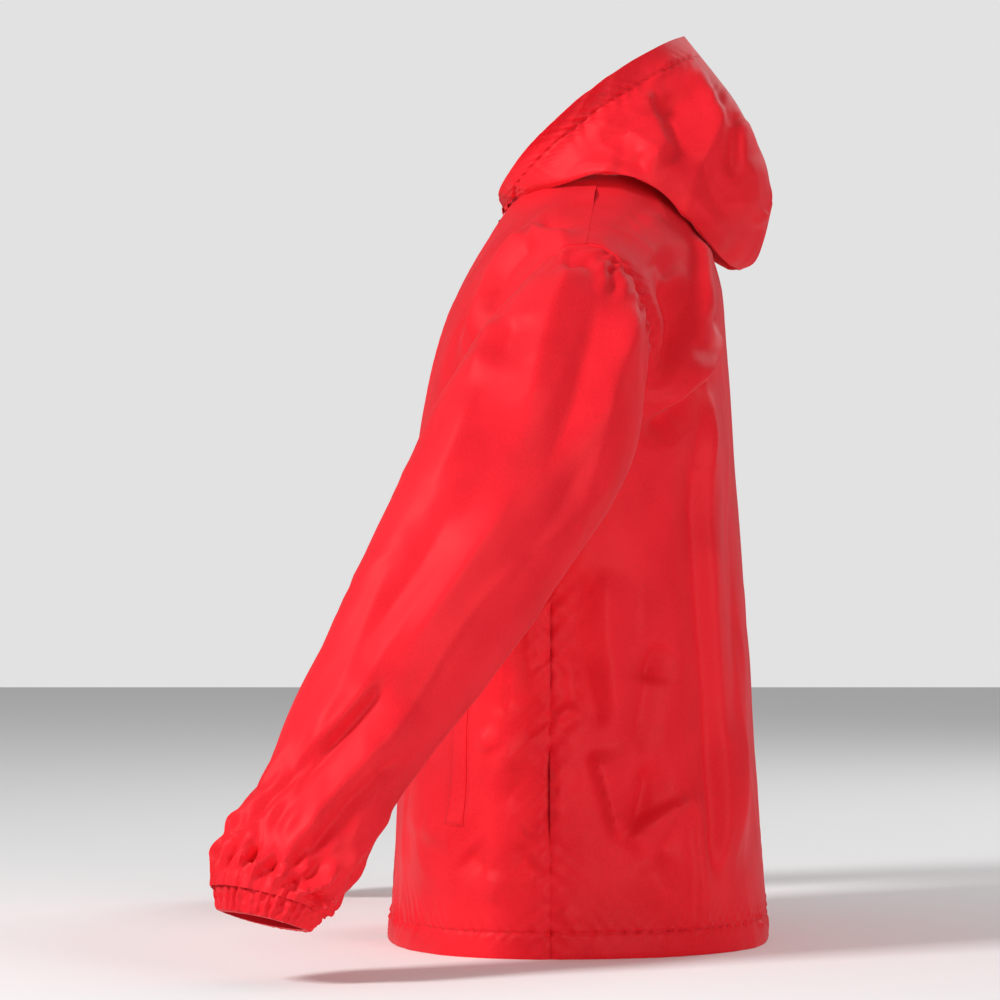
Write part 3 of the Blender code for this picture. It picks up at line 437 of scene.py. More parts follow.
def taffeta(name, light, dark, glow):
    """Thin woven nylon: close plain weave, uneven dye and a soft, slightly pink sheen."""
    made = bpy.data.materials.new(name)
    made.use_nodes = True
    tree = made.node_tree
    shader = tree.nodes["Principled BSDF"]
    place = node(tree, "ShaderNodeTexCoord")
    mottle = node(tree, "ShaderNodeTexNoise", Scale=520.0, Detail=3.0, Roughness=0.6)
    cloud = node(tree, "ShaderNodeTexNoise", Scale=14.0, Detail=2.0, Roughness=0.5)
    tree.links.new(place.outputs["Object"], mottle.inputs["Vector"])
    tree.links.new(place.outputs["Object"], cloud.inputs["Vector"])
    share = node(tree, "ShaderNodeMath", operation="MULTIPLY_ADD")
    share.inputs[1].default_value = 0.7
    tree.links.new(mottle.outputs["Fac"], share.inputs[0])
    tree.links.new(cloud.outputs["Fac"], share.inputs[2])
    ramp = node(tree, "ShaderNodeValToRGB")
    ramp.color_ramp.elements[0].position = 0.55
    ramp.color_ramp.elements[0].color = dark
    ramp.color_ramp.elements[1].position = 1.15
    ramp.color_ramp.elements[1].color = light
    tree.links.new(share.outputs[0], ramp.inputs["Fac"])
    tree.links.new(ramp.outputs["Color"], shader.inputs["Base Color"])
    rough = node(tree, "ShaderNodeMapRange")
    rough.inputs["To Min"].default_value = 0.48
    rough.inputs["To Max"].default_value = 0.62
    tree.links.new(mottle.outputs["Fac"], rough.inputs["Value"])
    tree.links.new(rough.outputs["Result"], shader.inputs["Roughness"])
    bump = node(tree, "ShaderNodeBump", Strength=0.35, Distance=0.00025)
    tree.links.new(mottle.outputs["Fac"], bump.inputs["Height"])
    tree.links.new(bump.outputs["Normal"], shader.inputs["Normal"])
    shader.inputs["Sheen Weight"].default_value = 0.12
    shader.inputs["Sheen Roughness"].default_value = 0.45
    shader.inputs["Sheen Tint"].default_value = glow
    shader.inputs["Specular IOR Level"].default_value = 0.17
    return made


RED = taffeta("red_taffeta", (0.83, 0.012, 0.023, 1.0), (0.69, 0.006, 0.015, 1.0), (1.0, 0.42, 0.48, 1.0))


def sew_body(name, stands_for, points, normals):
    made = cloth_mesh(name, points, normals, CLOTH, RED)
    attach(made, "torso")
    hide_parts(stands_for)
    return made


for word, side in (("left", LEFT), ("right", RIGHT)):
    points = body_grid(FRONT_COLUMNS, ROWS, side, True, ZIP_EDGE_X)
    normals = grid_normals(points, (side * 0.5, -1, 0))
    height = relieve_panel(points, facing_side(normals, side), 0.0022, SIDE_FOLDS_FRONT, 10 + side)
    normals = flatten_seams(normals, FRONT_COLUMNS)
    points = points + height[..., None] * normals
    points[..., 2] = np.maximum(points[..., 2], 0.0002)
    cloths["front_" + word] = {"columns": FRONT_COLUMNS, "rows": ROWS, "points": points,
                               "normals": grid_normals(points, (side * 0.5, -1, 0))}
    normals = cloths["front_" + word]["normals"]
    sew_body(word + "_front", "front_" + word, points, normals)

# ------------------------------------------------------------------ back panel
# One back of the same taffeta, in one piece from side seam to side seam, with a shallow
# round neck. It hangs nearly straight from the shoulder blades.
BACK_COLUMNS = seam_columns(100)
halves = []
for side in (RIGHT, LEFT):
    points = body_grid(BACK_COLUMNS, ROWS, side, False, 0.0)
    normals = grid_normals(points, (side * 0.5, 1, 0))
    height = relieve_panel(points, facing_side(normals, side), 0.0042, SIDE_FOLDS_BACK, 20)
    normals = flatten_seams(normals, BACK_COLUMNS)
    points = points + height[..., None] * normals
    points[..., 2] = np.maximum(points[..., 2], 0.0002)
    halves.append(points)
points = np.concatenate((halves[0][:, ::-1], halves[1][:, 1:]), axis=1)
WHOLE_BACK_COLUMNS = np.concatenate((-BACK_COLUMNS[::-1], BACK_COLUMNS[1:]))
cloths["back_panel"] = {"columns": WHOLE_BACK_COLUMNS, "rows": ROWS, "points": points,
                        "normals": grid_normals(points, (0, 1, 0))}
sew_body("back", "back_panel", points, cloths["back_panel"]["normals"])

# ------------------------------------------------------------------ sleeves
# Wide one-piece sleeves of the same taffeta. Each cap is eased into its armhole with small
# gathers, and the lower end is gathered onto the cuff's elastic.
SLEEVE_RINGS = (
    (0.262, 0.043, 0.526, 0.080, 0.088, 0.25),
    (0.292, 0.019, 0.470, 0.092, 0.066, 0.60),
    (0.325, -0.030, 0.384, 0.083, 0.056, 1.0),
    (0.356, -0.080, 0.2985, 0.0735, 0.052, 1.0),
    (0.386, -0.131, 0.215, 0.0625, 0.048, 1.0),
    (0.408, -0.165, 0.153, 0.055, 0.045, 1.0),
    (0.422, -0.189, 0.112, 0.055, 0.045, 1.0),
    (0.432, -0.206, 0.083, 0.051, 0.042, 1.0),
    (0.439, -0.213, 0.057, 0.041, 0.037, 1.0),
)
SLEEVE_END = (len(SLEEVE_RINGS) - 1.0) / len(SLEEVE_RINGS)
SIDE_FOLDS_SLEEVE = (
    (9.8, 4, 14, 0.15, 0.5, ((31, 654), (17, 647), (3, 636), (-11, 621), (-18, 598), (-27, 579), (-38, 557))),
    (7, 8, 10, 0.25, 0.4, ((110, 623), (112, 598), (107, 563), (98, 527))),
    (5.6, 5, 6, 0.1, 0.5, ((98, 629), (101, 613), (101, 596))),
    (-4.2, 4, 4, 0.1, 0.5, ((91, 632), (93, 614), (92, 598))),
    (5.6, 5, 6, 0.1, 0.5, ((83, 636), (87, 620), (85, 600))),
    (-4.2, 4, 4, 0.1, 0.5, ((117, 616), (118, 600), (117, 580))),
    (8.4, 22, 22, 0.15, 0.4, ((57, 632), (42, 598), (31, 563), (22, 518), (6, 464))),
    (-7, 18, 18, 0.2, 0.4, ((82, 607), (75, 563), (62, 518), (46, 473), (24, 420))),
    (7, 20, 18, 0.2, 0.4, ((107, 598), (101, 554), (87, 500), (67, 455))),
    (-11.2, 9, 12, 0.2, 0.4, ((33, 648), (10, 636), (-5, 621), (-15, 598), (-18, 571))),
    (7, 14, 8, 0.3, 0.4, ((-8, 598), (-17, 571), (-27, 545), (-38, 518))),
    (-7, 5, 7, 0.3, 0.3, ((46, 635), (57, 632), (67, 634), (78, 639))),
    (5.6, 7, 10, 0.3, 0.3, ((42, 627), (60, 624), (75, 630))),
    (-7, 16, 18, 0.3, 0.4, ((10, 589), (-2, 563), (-11, 534))),
    (7, 18, 18, 0.3, 0.4, ((-26, 527), (-42, 482), (-61, 437), (-79, 393))),
    (-7, 16, 16, 0.25, 0.4, ((-42, 420), (-64, 388), (-93, 344), (-122, 303), (-146, 272))),
    (7, 16, 14, 0.25, 0.4, ((10, 437), (-17, 393), (-48, 348), (-79, 303), (-102, 276))),
    (8.4, 5, 18, 0.25, 0.35, ((-109, 271), (-133, 241), (-167, 209), (-195, 189))),
    (-8.4, 14, 12, 0.25, 0.35, ((-104, 266), (-131, 230), (-164, 194), (-200, 160))),
    (8.4, 12, 16, 0.2, 0.3, ((-79, 250), (-110, 209), (-142, 174), (-178, 133), (-204, 89))),
    (-8.4, 6, 9, 0.2, 0.3, ((-86, 203), (-113, 183), (-142, 154), (-170, 116), (-194, 80))),
    (7, 14, 12, 0.2, 0.3, ((-97, 160), (-128, 125), (-155, 89), (-176, 57))),
    (-5.6, 14, 14, 0.3, 0.3, ((-160, 241), (-186, 196), (-213, 151), (-233, 116))),
    (7, 12, 12, 0.3, 0.3, ((-186, 223), (-209, 178), (-231, 138), (-247, 102))),
    (-4.2, 14, 14, 0.3, 0.3, ((82, 473), (55, 428), (28, 384), (-8, 330))),
)


def smooth_curve(points, t):
    """Smooth curve through given points, t from 0 to 1."""
    points = np.asarray(points, float)
    last = len(points) - 1
    padded = np.vstack((2 * points[0] - points[1], points, 2 * points[-1] - points[-2]))
    place = np.clip(t, 0.0, 1.0) * last
    i = np.minimum(place.astype(int), last - 1)
    f = (place - i)[..., None]
    p0, p1, p2, p3 = (padded[i + k] for k in range(4))
    return 0.5 * (2 * p1 + (p2 - p0) * f + (2 * p0 - 5 * p1 + 4 * p2 - p3) * f ** 2
                  + (3 * p1 - p0 - 3 * p2 + p3) * f ** 3)


def armhole_points(word, side):
    """Sewn edge of the armhole: up the front from the underarm, then down the back."""
    front = cloths["front_" + word]["points"][UNDER_ROW:, -1]
    back = cloths["back_panel"]["points"][UNDER_ROW:, -1 if side > 0 else 0]
    return np.concatenate((front[:-1], back[:0:-1]))


def sleeve_grid(side, hole, rows):
    """Tube of the sleeve: columns round from the underarm by the front, rows down the arm."""
    count = len(hole) // 2
    middle = 0.5 * (hole[0] + hole[count])
    rings = np.array(((side * middle[0], middle[1], middle[2], 0.066, 0.1025, 0.0),) + SLEEVE_RINGS)
    ring = smooth_curve(rings, rows)
    step = 0.02
    ahead = smooth_curve(rings, np.minimum(rows + step, 1.0)) - smooth_curve(rings, np.maximum(rows - step, 0.0))
    along = unit(ahead[:, :3])
    turn = np.minimum(ring[:, 5], 1.0)[:, None]
    normal = unit((1 - turn) * np.array((1.0, 0, 0)) + turn * along)
    to_front = unit((1 - turn) * np.array((0, -1.0, 0)) + turn * unit(np.cross(along, (1.0, 0, 0))))
    outward = unit(np.cross(to_front, normal))
    angle = math.pi * (np.arange(2 * count) / count - 0.5)[None, :, None]
    tube = (ring[:, None, :3] + to_front[:, None] * ring[:, 3, None, None] * np.cos(angle)
            + outward[:, None] * ring[:, 4, None, None] * np.sin(angle))
    tube[..., 0] *= side
    blend = smoothstep(rows * len(SLEEVE_RINGS))[:, None, None]
    found = hole[None] * (1 - blend) + tube * blend
    found[..., 0] = side * np.maximum(side * found[..., 0], ARM_X + 0.0004 + 0.004 * rows[:, None])
    return found


def sleeve_relief(points, normals, side, seed):
    """Long soft folds, gathers into the armhole and deep gathers into the cuff."""
    height = fold_height(points[..., 1:], SIDE_FOLDS_SLEEVE) * facing_side(normals, side)
    outside = points.shape[1] // 2
    down = lengths_along(points[:, outside])[:, None]
    ring = np.linalg.norm(np.diff(points[60], axis=0), axis=-1).mean()
    around = (np.arange(points.shape[1]) * ring)[None, :]
    to_cuff = down[CUFF_ROW] - down
    above_cuff = np.maximum(to_cuff, 0.0)
    height += 0.0011 * soft_noise(points, 0.15, seed)
    sharp = 0.0016 + 0.0030 * np.exp(-above_cuff / 0.12)
    height += sharp * creases(points, 0.055, seed + 4, (0.0, 0.52, 0.85))
    height += 0.0050 * pucker(around, down, 0.013, 0.020, seed + 1)
    height += 0.0130 * pucker(around, above_cuff, 0.026, 0.040, seed + 2)
    height += 0.0070 * pucker(around, above_cuff, 0.012, 0.016, seed + 3)
    over_cuff = smoothstep((0.006 - to_cuff) / 0.012)
    height = height * (1 - 0.55 * over_cuff)
    ruffle = 0.0030 + 0.0022 * pucker(around, 0.0 * down, 0.013, 1.0, seed + 5)
    height = np.where(over_cuff > 0, np.maximum(height, ruffle * over_cuff), height)
    seam = 0.0012 * np.exp(-((down - 0.0030) / 0.0016) ** 2)
    return height * smoothstep(down / 0.008) - seam


OVERHANG = 0.40 * (1.0 - SLEEVE_END)
SLEEVE_ROWS = np.concatenate(([0.0, 0.002, 0.004, 0.007], np.linspace(0.010, SLEEVE_END + OVERHANG, 204)))
CUFF_ROW = int(np.searchsorted(SLEEVE_ROWS, SLEEVE_END))
for word, side in (("left", LEFT), ("right", RIGHT)):
    points = sleeve_grid(side, armhole_points(word, side), SLEEVE_ROWS)
    normals = grid_normals(points, (side, 0, 0), closed=True)
    height = sleeve_relief(points, normals, side, 30 + side)
    points = points + height[..., None] * normals
    normals = grid_normals(points, (side, 0, 0), closed=True)
    cloths["sleeve_" + word] = {"points": points, "normals": normals}
    made = cloth_mesh(word + "_sleeve", points, normals, CLOTH, RED, closed=True)
    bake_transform(made)
    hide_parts("sleeve_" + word)

# ------------------------------------------------------------------ cuffs
# Each cuff is a casing of the taffeta folded over a 20 mm elastic, which draws it into small
# even gathers.
for word, side in (("left", LEFT), ("right", RIGHT)):
    hole = armhole_points(word, side)
    lips = sleeve_grid(side, hole, np.array((SLEEVE_END, SLEEVE_END + 0.003, 1.0)))
    sleeve = cloths["sleeve_" + word]
    lips[0] = sleeve["points"][CUFF_ROW] - 0.0022 * sleeve["normals"][CUFF_ROW]
    outer_side = smoothstep(0.5 + side * (lips[2][:, 0] - lips[2][:, 0].mean()) / 0.06)
    lips[2][:, 2] -= 0.004 * outer_side
    count = lips.shape[1]
    middle = lips.mean(axis=1, keepdims=True)
    spokes = unit(lips - middle)
    fine = np.arange(4 * count) / 4.0
    low = fine.astype(int) % count
    mix = (fine - fine.astype(int))[None, :, None]
    lips, spokes = (grid[:, low] * (1 - mix) + grid[:, (low + 1) % count] * mix for grid in (lips, spokes))
    shares = np.concatenate((np.linspace(0, 1, 16), [1.0] + list(np.linspace(1.0, 0.12, 10))))
    depth = np.concatenate((np.zeros(16), [0.0028], np.full(10, 0.0052)))
    lean = np.linspace(0, 2 * math.pi, lips.shape[1], endpoint=False)[None, :]
    random = np.random.default_rng(50 + side)
    twist = shares[:, None]
    ruche = sum(np.sin(lean * n + random.uniform(-2.5, 2.5) * twist + random.uniform(0, 6.28))
                for n in (19, 27, 34, 43)) / 4.0
    ruche = ruche + 0.35 * np.sin(lean * 23 + 5.0 * twist) * np.sin(5.0 * math.pi * twist)
    swell = np.sin(np.pi * np.clip(shares, 0, 1))[:, None] ** 0.7
    outer = (np.arange(len(shares)) < 16)[:, None]
    grid = lips[1][None] * (1 - shares[:, None, None]) + lips[2][None] * shares[:, None, None]
    rise = outer * (0.0016 * swell + 0.0034 * ruche * (0.5 + 0.5 * swell)) - depth[:, None]
    grid = grid + rise[..., None] * spokes[1][None]
    grid[0] = lips[0] * 0.6 + grid[0] * 0.4
    normals = grid_normals(grid, (side, 0, 0), closed=True)
    if np.dot(normals[4, 2 * count], (side, 0, 0)) < 0:
        normals = -normals
    made = cloth_mesh(word + "_cuff", grid, normals, 0.0004, RED, closed=True)
    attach(made, "sleeve_%s_body" % word)
    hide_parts("cuff_casing_" + word)

# ------------------------------------------------------------------ hood
# Two halves of the taffeta sewn along the crown, set into the neckline. The hood lies half
# back: a deep roll rests on the shoulders and the crown stands up behind the neck.
FACE_EDGE = (
    (0.0100, -0.0040, 0.7020), (0.0450, -0.0080, 0.7140), (0.0780, 0.0036, 0.7330),
    (0.1000, 0.0215, 0.7550), (0.1110, 0.0451, 0.7780), (0.1120, 0.0706, 0.8005),
    (0.1000, 0.1026, 0.8235), (0.0620, 0.1440, 0.8500), (0.0004, 0.1690, 0.8649))
LOW_FOLD = (
    (0.0100, -0.0040, 0.7020), (0.0480, 0.0094, 0.7060), (0.0850, 0.0309, 0.7110),
    (0.1080, 0.0533, 0.7165), (0.1240, 0.0856, 0.7256), (0.1280, 0.1136, 0.7215),
    (0.1240, 0.1323, 0.7140), (0.1130, 0.1510, 0.7010), (0.0960, 0.1707, 0.6824),
    (0.0700, 0.1890, 0.6630), (0.0380, 0.2070, 0.6470), (0.0004, 0.2225, 0.6400))
CROWN_SEAM = (
    (0.1690, 0.8649), (0.1968, 0.8304), (0.2141, 0.8073), (0.2275, 0.7843), (0.2390, 0.7613),
    (0.2486, 0.7382), (0.2540, 0.7037))
NAPE_SEAM = ((0.2225, 0.6400), (0.2370, 0.6480), (0.2460, 0.6700), (0.2540, 0.7037))
UNDER_FOLD = 0.2
NECK_RAISE = 0.0032
SIDE_FOLDS_HOOD = (
    (8.8, 7, 30, 0.2, 0.25, ((124, 810), (131, 790), (140, 772), (147, 753), (138, 741), (124, 729))),
    (-6.6, 20, 14, 0.25, 0.3, ((142, 804), (154, 776), (161, 748), (154, 725))),
    (-5.5, 16, 12, 0.3, 0.3, ((131, 741), (114, 735), (97, 739))),
    (4.4, 12, 14, 0.3, 0.3, ((77, 778), (97, 769), (116, 757), (133, 752))),
    (-6.6, 4.5, 6, 0.2, 0.3, ((216, 789), (214, 767), (212, 739), (211, 716))),
    (4.4, 8, 5, 0.2, 0.3, ((219, 784), (219, 757), (218, 725))),
    (4.4, 4, 8, 0.2, 0.3, ((178, 833), (184, 817), (192, 804), (199, 787), (203, 772))),
    (-4.4, 8, 6, 0.3, 0.3, ((188, 823), (197, 808), (206, 791), (210, 772))),
    (-4.4, 14, 14, 0.3, 0.3, ((180, 748), (191, 710), (201, 682))),
    (5.5, 16, 16, 0.3, 0.3, ((225, 748), (234, 710), (232, 675))),
    (3.3, 4, 6, 0.3, 0.3, ((234, 680), (240, 688), (246, 697))),
    (4.4, 14, 10, 0.3, 0.3, ((49, 724), (77, 733), (105, 729), (133, 718))),
    (5.5, 14, 14, 0.3, 0.3, ((171, 710), (191, 682), (210, 654))),
)


def neck_seam(u):
    """Line where the hood is sewn to the body, from the zip to the centre back."""
    share = 0.45
    front_x = ZIP_EDGE_X + (NECK_HALF_WIDTH - ZIP_EDGE_X) * np.sin(0.5 * math.pi * np.minimum(u / share, 1.0))
    back_x = NECK_HALF_WIDTH * np.cos(0.5 * math.pi * np.maximum((u - share) / (1 - share), 0.0))
    x = np.where(u < share, front_x, np.maximum(back_x, 0.0004))
    ends = []
    for is_front in (True, False):
        z = neckline_height(x, is_front)
        ends.append(np.stack((x, side_line(x, z) + depth_at(x, z, is_front), z + NECK_RAISE), axis=-1))
    return np.where((u < share)[..., None], ends[0], ends[1])


def hood_grid(columns, rows, side):
    u, v = np.meshgrid(columns, rows)
    fold = smooth_curve(LOW_FOLD, u)
    t = np.clip(v / UNDER_FOLD, 0.0, 1.0)[..., None]
    under = neck_seam(u) * (1 - t) + fold * t
    under[..., 2] += 0.004 * np.sin(math.pi * t[..., 0]) * (1 - u)
    t = np.clip((v - UNDER_FOLD) / (1 - UNDER_FOLD), 0.0, 1.0)
    face, crown, nape = smooth_curve(FACE_EDGE, t), smooth_curve(CROWN_SEAM, u), smooth_curve(NAPE_SEAM, t)
    corners = (((1 - u) * (1 - t))[..., None] * np.array(LOW_FOLD[0][1:])
               + (u * (1 - t))[..., None] * np.array(LOW_FOLD[-1][1:])
               + ((1 - u) * t)[..., None] * np.array(CROWN_SEAM[0]) + (u * t)[..., None] * np.array(CROWN_SEAM[-1]))
    flat = ((1 - t)[..., None] * fold[..., 1:] + t[..., None] * crown + (1 - u)[..., None] * face[..., 1:]
            + u[..., None] * nape - corners)
    round_over = np.maximum(1 - t ** 2.2, 0.0) ** (1 / 2.2)
    near_face = np.maximum(1 - u / 0.4, 0.0) ** 2
    x = fold[..., 0] * round_over + near_face * (face[..., 0] - LOW_FOLD[0][0] * round_over)
    over = np.stack((np.maximum(x, 0.0004), flat[..., 0], flat[..., 1]), axis=-1)
    found = np.where((v < UNDER_FOLD)[..., None], under, over)
    found[..., 0] *= side
    return found


def hood_relief(points, normals, side, columns, seed):
    height = fold_height(points[..., 1:], SIDE_FOLDS_HOOD) * facing_side(normals, side)
    height += 0.0010 * soft_noise(points, 0.10, seed)
    height += 0.0030 * creases(points, 0.045, seed, (0.0, 0.75, 0.66))
    from_stitching = np.abs(columns - 0.088)[None, :] * 0.27
    along = lengths_along(points[:, 12])[:, None]
    height += 0.0022 * pucker(along, from_stitching, 0.012, 0.010, seed + 1)
    height -= 0.0016 * np.exp(-(from_stitching / 0.0018) ** 2)
    return height


HOOD_COLUMNS = np.concatenate((np.linspace(0.0, 0.12, 26)[:-1], np.linspace(0.12, 1.0, 116)))
HOOD_ROWS = np.concatenate((np.linspace(0.0, UNDER_FOLD, 16)[:-1], np.linspace(UNDER_FOLD, 1.0, 110)))
for word, side in (("left", LEFT), ("right", RIGHT)):
    points = hood_grid(HOOD_COLUMNS, HOOD_ROWS, side)
    normals = grid_normals(points, (side, 0, 0))
    height = hood_relief(points, normals, side, HOOD_COLUMNS, 60 + side)
    edge = smoothstep((1.0 - HOOD_COLUMNS)[None, :] / 0.06) * smoothstep((1.0 - HOOD_ROWS)[:, None] / 0.05)
    points = points + (height * edge)[..., None] * normals
    points[..., 0] = side * np.maximum(side * points[..., 0], 0.0004)
    normals = grid_normals(points, (side, 0, 0))
    cloths["hood_" + word] = {"columns": HOOD_COLUMNS, "rows": HOOD_ROWS,
                              "points": points, "normals": normals}
    made = cloth_mesh(word + "_hood", points, normals, CLOTH, RED)
    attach(made, "torso")
    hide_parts("hood_" + word)

# ------------------------------------------------------------------ hem facings
# The hem is turned up 24 mm inside and stitched down, which makes a tunnel all round. The
# turned-up part is the same taffeta, seen from its coated side.
LINING = taffeta("coated_side", (0.62, 0.010, 0.024, 1.0), (0.50, 0.006, 0.016, 1.0), (0.9, 0.4, 0.45, 1.0))


def lie_on(cloth, u, v, depth):
    """Points at a depth under a finished piece of cloth, and its normals there."""
    column = np.interp(u, cloth["columns"], np.arange(len(cloth["columns"])))
    row = np.interp(v, cloth["rows"], np.arange(len(cloth["rows"])))
    c = np.minimum(column.astype(int), len(cloth["columns"]) - 2)
    r = np.minimum(row.astype(int), len(cloth["rows"]) - 2)
    a, b = (column - c)[..., None], (row - r)[..., None]

    def mixed(grid):
        low = grid[r, c] * (1 - a) + grid[r, c + 1] * a
        high = grid[r + 1, c] * (1 - a) + grid[r + 1, c + 1] * a
        return low * (1 - b) + high * b

    normals = unit(mixed(cloth["normals"]))
    return mixed(cloth["points"]) - np.asarray(depth)[..., None] * normals, normals


def strip_on(name, cloth, u_range, v_range, counts, depth, thickness, finish):
    """Strip of cloth lying close against a finished piece."""
    u, v = np.meshgrid(np.linspace(*u_range, counts[0]), np.linspace(*v_range, counts[1]))
    points, normals = lie_on(cloth, u, v, np.full(u.shape, depth))
    return cloth_mesh(name, points, normals, thickness, finish)


UNDER = CLOTH + 0.0004
HEM_TOP = 0.024 / SHOULDER_Z
for name, stands_for, piece, ends, count in (
        ("left_front_hem", "hem_facing_front_left", "front_left", (0.05, 0.992), 90),
        ("right_front_hem", "hem_facing_front_right", "front_right", (0.05, 0.992), 90),
        ("back_hem", "hem_facing_back", "back_panel", (-0.992, 0.992), 190)):
    made = strip_on(name, cloths[piece], ends, (0.0004, HEM_TOP), (count, 9), UNDER, 0.0004, LINING)
    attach(made, "torso")
    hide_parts(stands_for)

# ------------------------------------------------------------------ zip facings
# A narrow strip of the taffeta is sewn inside along each side of the zip, over the tape.
for word, side in (("left", LEFT), ("right", RIGHT)):
    made = strip_on(word + "_zip_facing", cloths["front_" + word], (0.03, 0.10), (0.006, 0.985), (6, 150),
                    0.0042, 0.0004, LINING)
    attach(made, "torso")
    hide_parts("zip_facing_" + word)

# ------------------------------------------------------------------ pockets
# Slanted hand pockets: a folded welt stitched round its edges on the outside of each front,
# and a flat bag of two layers of taffeta inside.
for word, side in (("left", LEFT), ("right", RIGHT)):
    low, high = 0.122 / 0.69, 0.300 / 0.69
    u, v = np.meshgrid(np.linspace(0.585, 0.665, 12), np.linspace(low, high, 80))
    edge = np.minimum(np.minimum(u - 0.585, 0.665 - u) / 0.006, np.minimum(v - low, high - v) / 0.004)
    raised = 0.0007 + 0.0009 * smoothstep(edge)
    points, normals = lie_on(cloths["front_" + word], u, v, -raised)
    made = cloth_mesh(word + "_pocket_welt", points, normals, 0.0006, RED)
    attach(made, "torso")
    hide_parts("pocket_welt_" + word)
    made = strip_on(word + "_pocket_bag", cloths["front_" + word], (0.30, 0.64), (low - 0.03, high + 0.02),
                    (24, 70), 0.0030, 0.0010, LINING)
    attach(made, "torso")
    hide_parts("pocket_bag_" + word)

# ------------------------------------------------------------------ hood casing
# The edge round the face is turned in 22 mm and stitched, like the hem.
for word, side in (("left", LEFT), ("right", RIGHT)):
    made = strip_on(word + "_hood_casing", cloths["hood_" + word], (0.003, 0.085), (0.22, 0.985), (9, 100),
                    UNDER, 0.0004, LINING)
    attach(made, "torso")
    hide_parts("hood_hem_" + word)

# ------------------------------------------------------------------ neck tape, label and hanger loop
# Dark red woven tape covers the neck seam inside the back. A blank satin label and a short
# hanger loop are sewn under it.
def woven_tape(name, light, dark, ribs):
    """Narrow woven tape with fine ribs along its length."""
    made = bpy.data.materials.new(name)
    made.use_nodes = True
    tree = made.node_tree
    shader = tree.nodes["Principled BSDF"]
    place = node(tree, "ShaderNodeTexCoord")
    rib = node(tree, "ShaderNodeTexWave", Scale=ribs, Distortion=0.6, Detail=1.0)
    tree.links.new(place.outputs["Object"], rib.inputs["Vector"])
    ramp = node(tree, "ShaderNodeValToRGB")
    ramp.color_ramp.elements[0].color = dark
    ramp.color_ramp.elements[1].color = light
    tree.links.new(rib.outputs["Fac"], ramp.inputs["Fac"])
    tree.links.new(ramp.outputs["Color"], shader.inputs["Base Color"])
    bump = node(tree, "ShaderNodeBump", Strength=0.6, Distance=0.0002)
    tree.links.new(rib.outputs["Fac"], bump.inputs["Height"])
    tree.links.new(bump.outputs["Normal"], shader.inputs["Normal"])
    shader.inputs["Roughness"].default_value = 0.75
    return made


NECK_TAPE = woven_tape("neck_tape", (0.42, 0.010, 0.022, 1.0), (0.24, 0.005, 0.012, 1.0), 380.0)
SATIN = woven_tape("label_satin", (0.80, 0.79, 0.76, 1.0), (0.70, 0.69, 0.66, 1.0), 700.0)
back = cloths["back_panel"]
made = strip_on("nape_tape", back, (-0.20, 0.20), (0.966, 0.984), (60, 8), 0.0016, 0.0006, NECK_TAPE)
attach(made, "torso")
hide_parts("neck_tape")
made = strip_on("size_label", back, (-0.075, -0.005), (0.925, 0.980), (16, 30), 0.0026, 0.0004, SATIN)
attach(made, "torso")
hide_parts("care_label")
u, v = np.meshgrid(np.linspace(0.02, 0.12, 30), np.linspace(0.968, 0.976, 4))
bow = 0.0030 + 0.0070 * np.sin(math.pi * (u - 0.02) / 0.10)
points, normals = lie_on(back, u, v, bow)
made = cloth_mesh("loop_at_nape", points, normals, 0.0009, NECK_TAPE)
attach(made, "torso")
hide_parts("hanger_loop")

# ------------------------------------------------------------------ cuff elastic
# A ribbed white elastic, 18 mm wide, lies loose inside each cuff's casing.
ELASTIC = woven_tape("ribbed_elastic", (0.82, 0.81, 0.78, 1.0), (0.66, 0.65, 0.62, 1.0), 500.0)


def finish_node(name, material):
    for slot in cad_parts[name].material_slots:
        slot.material = material


for word in ("left", "right"):
    finish_node("cuff_elastic_" + word, ELASTIC)

# ------------------------------------------------------------------ zip
# A black moulded-tooth zip on woven tape, open-ended, with a black slider and a slim nickel
# puller. The teeth are pinched onto the tape's edge every 2.2 mm.


def front_frame(s):
    """Points down the centre front, with the direction out of the cloth, s metres from the top."""
    arc = FRONT_RADIUS * (FRONT_TOP_LEAN - FRONT_LOW_LEAN)
    lean = np.where(s <= arc, FRONT_TOP_LEAN - s / FRONT_RADIUS, FRONT_LOW_LEAN)
    rest = np.maximum(s - arc, 0.0)
    y = ARC_Y - FRONT_RADIUS * np.cos(lean) - rest * np.sin(lean)
    z = ARC_Z + FRONT_RADIUS * np.sin(lean) - rest * np.cos(lean)
    out = np.stack((0 * s, -np.cos(lean), np.sin(lean)), axis=-1)
    return np.stack((0 * s, y, z), axis=-1), out


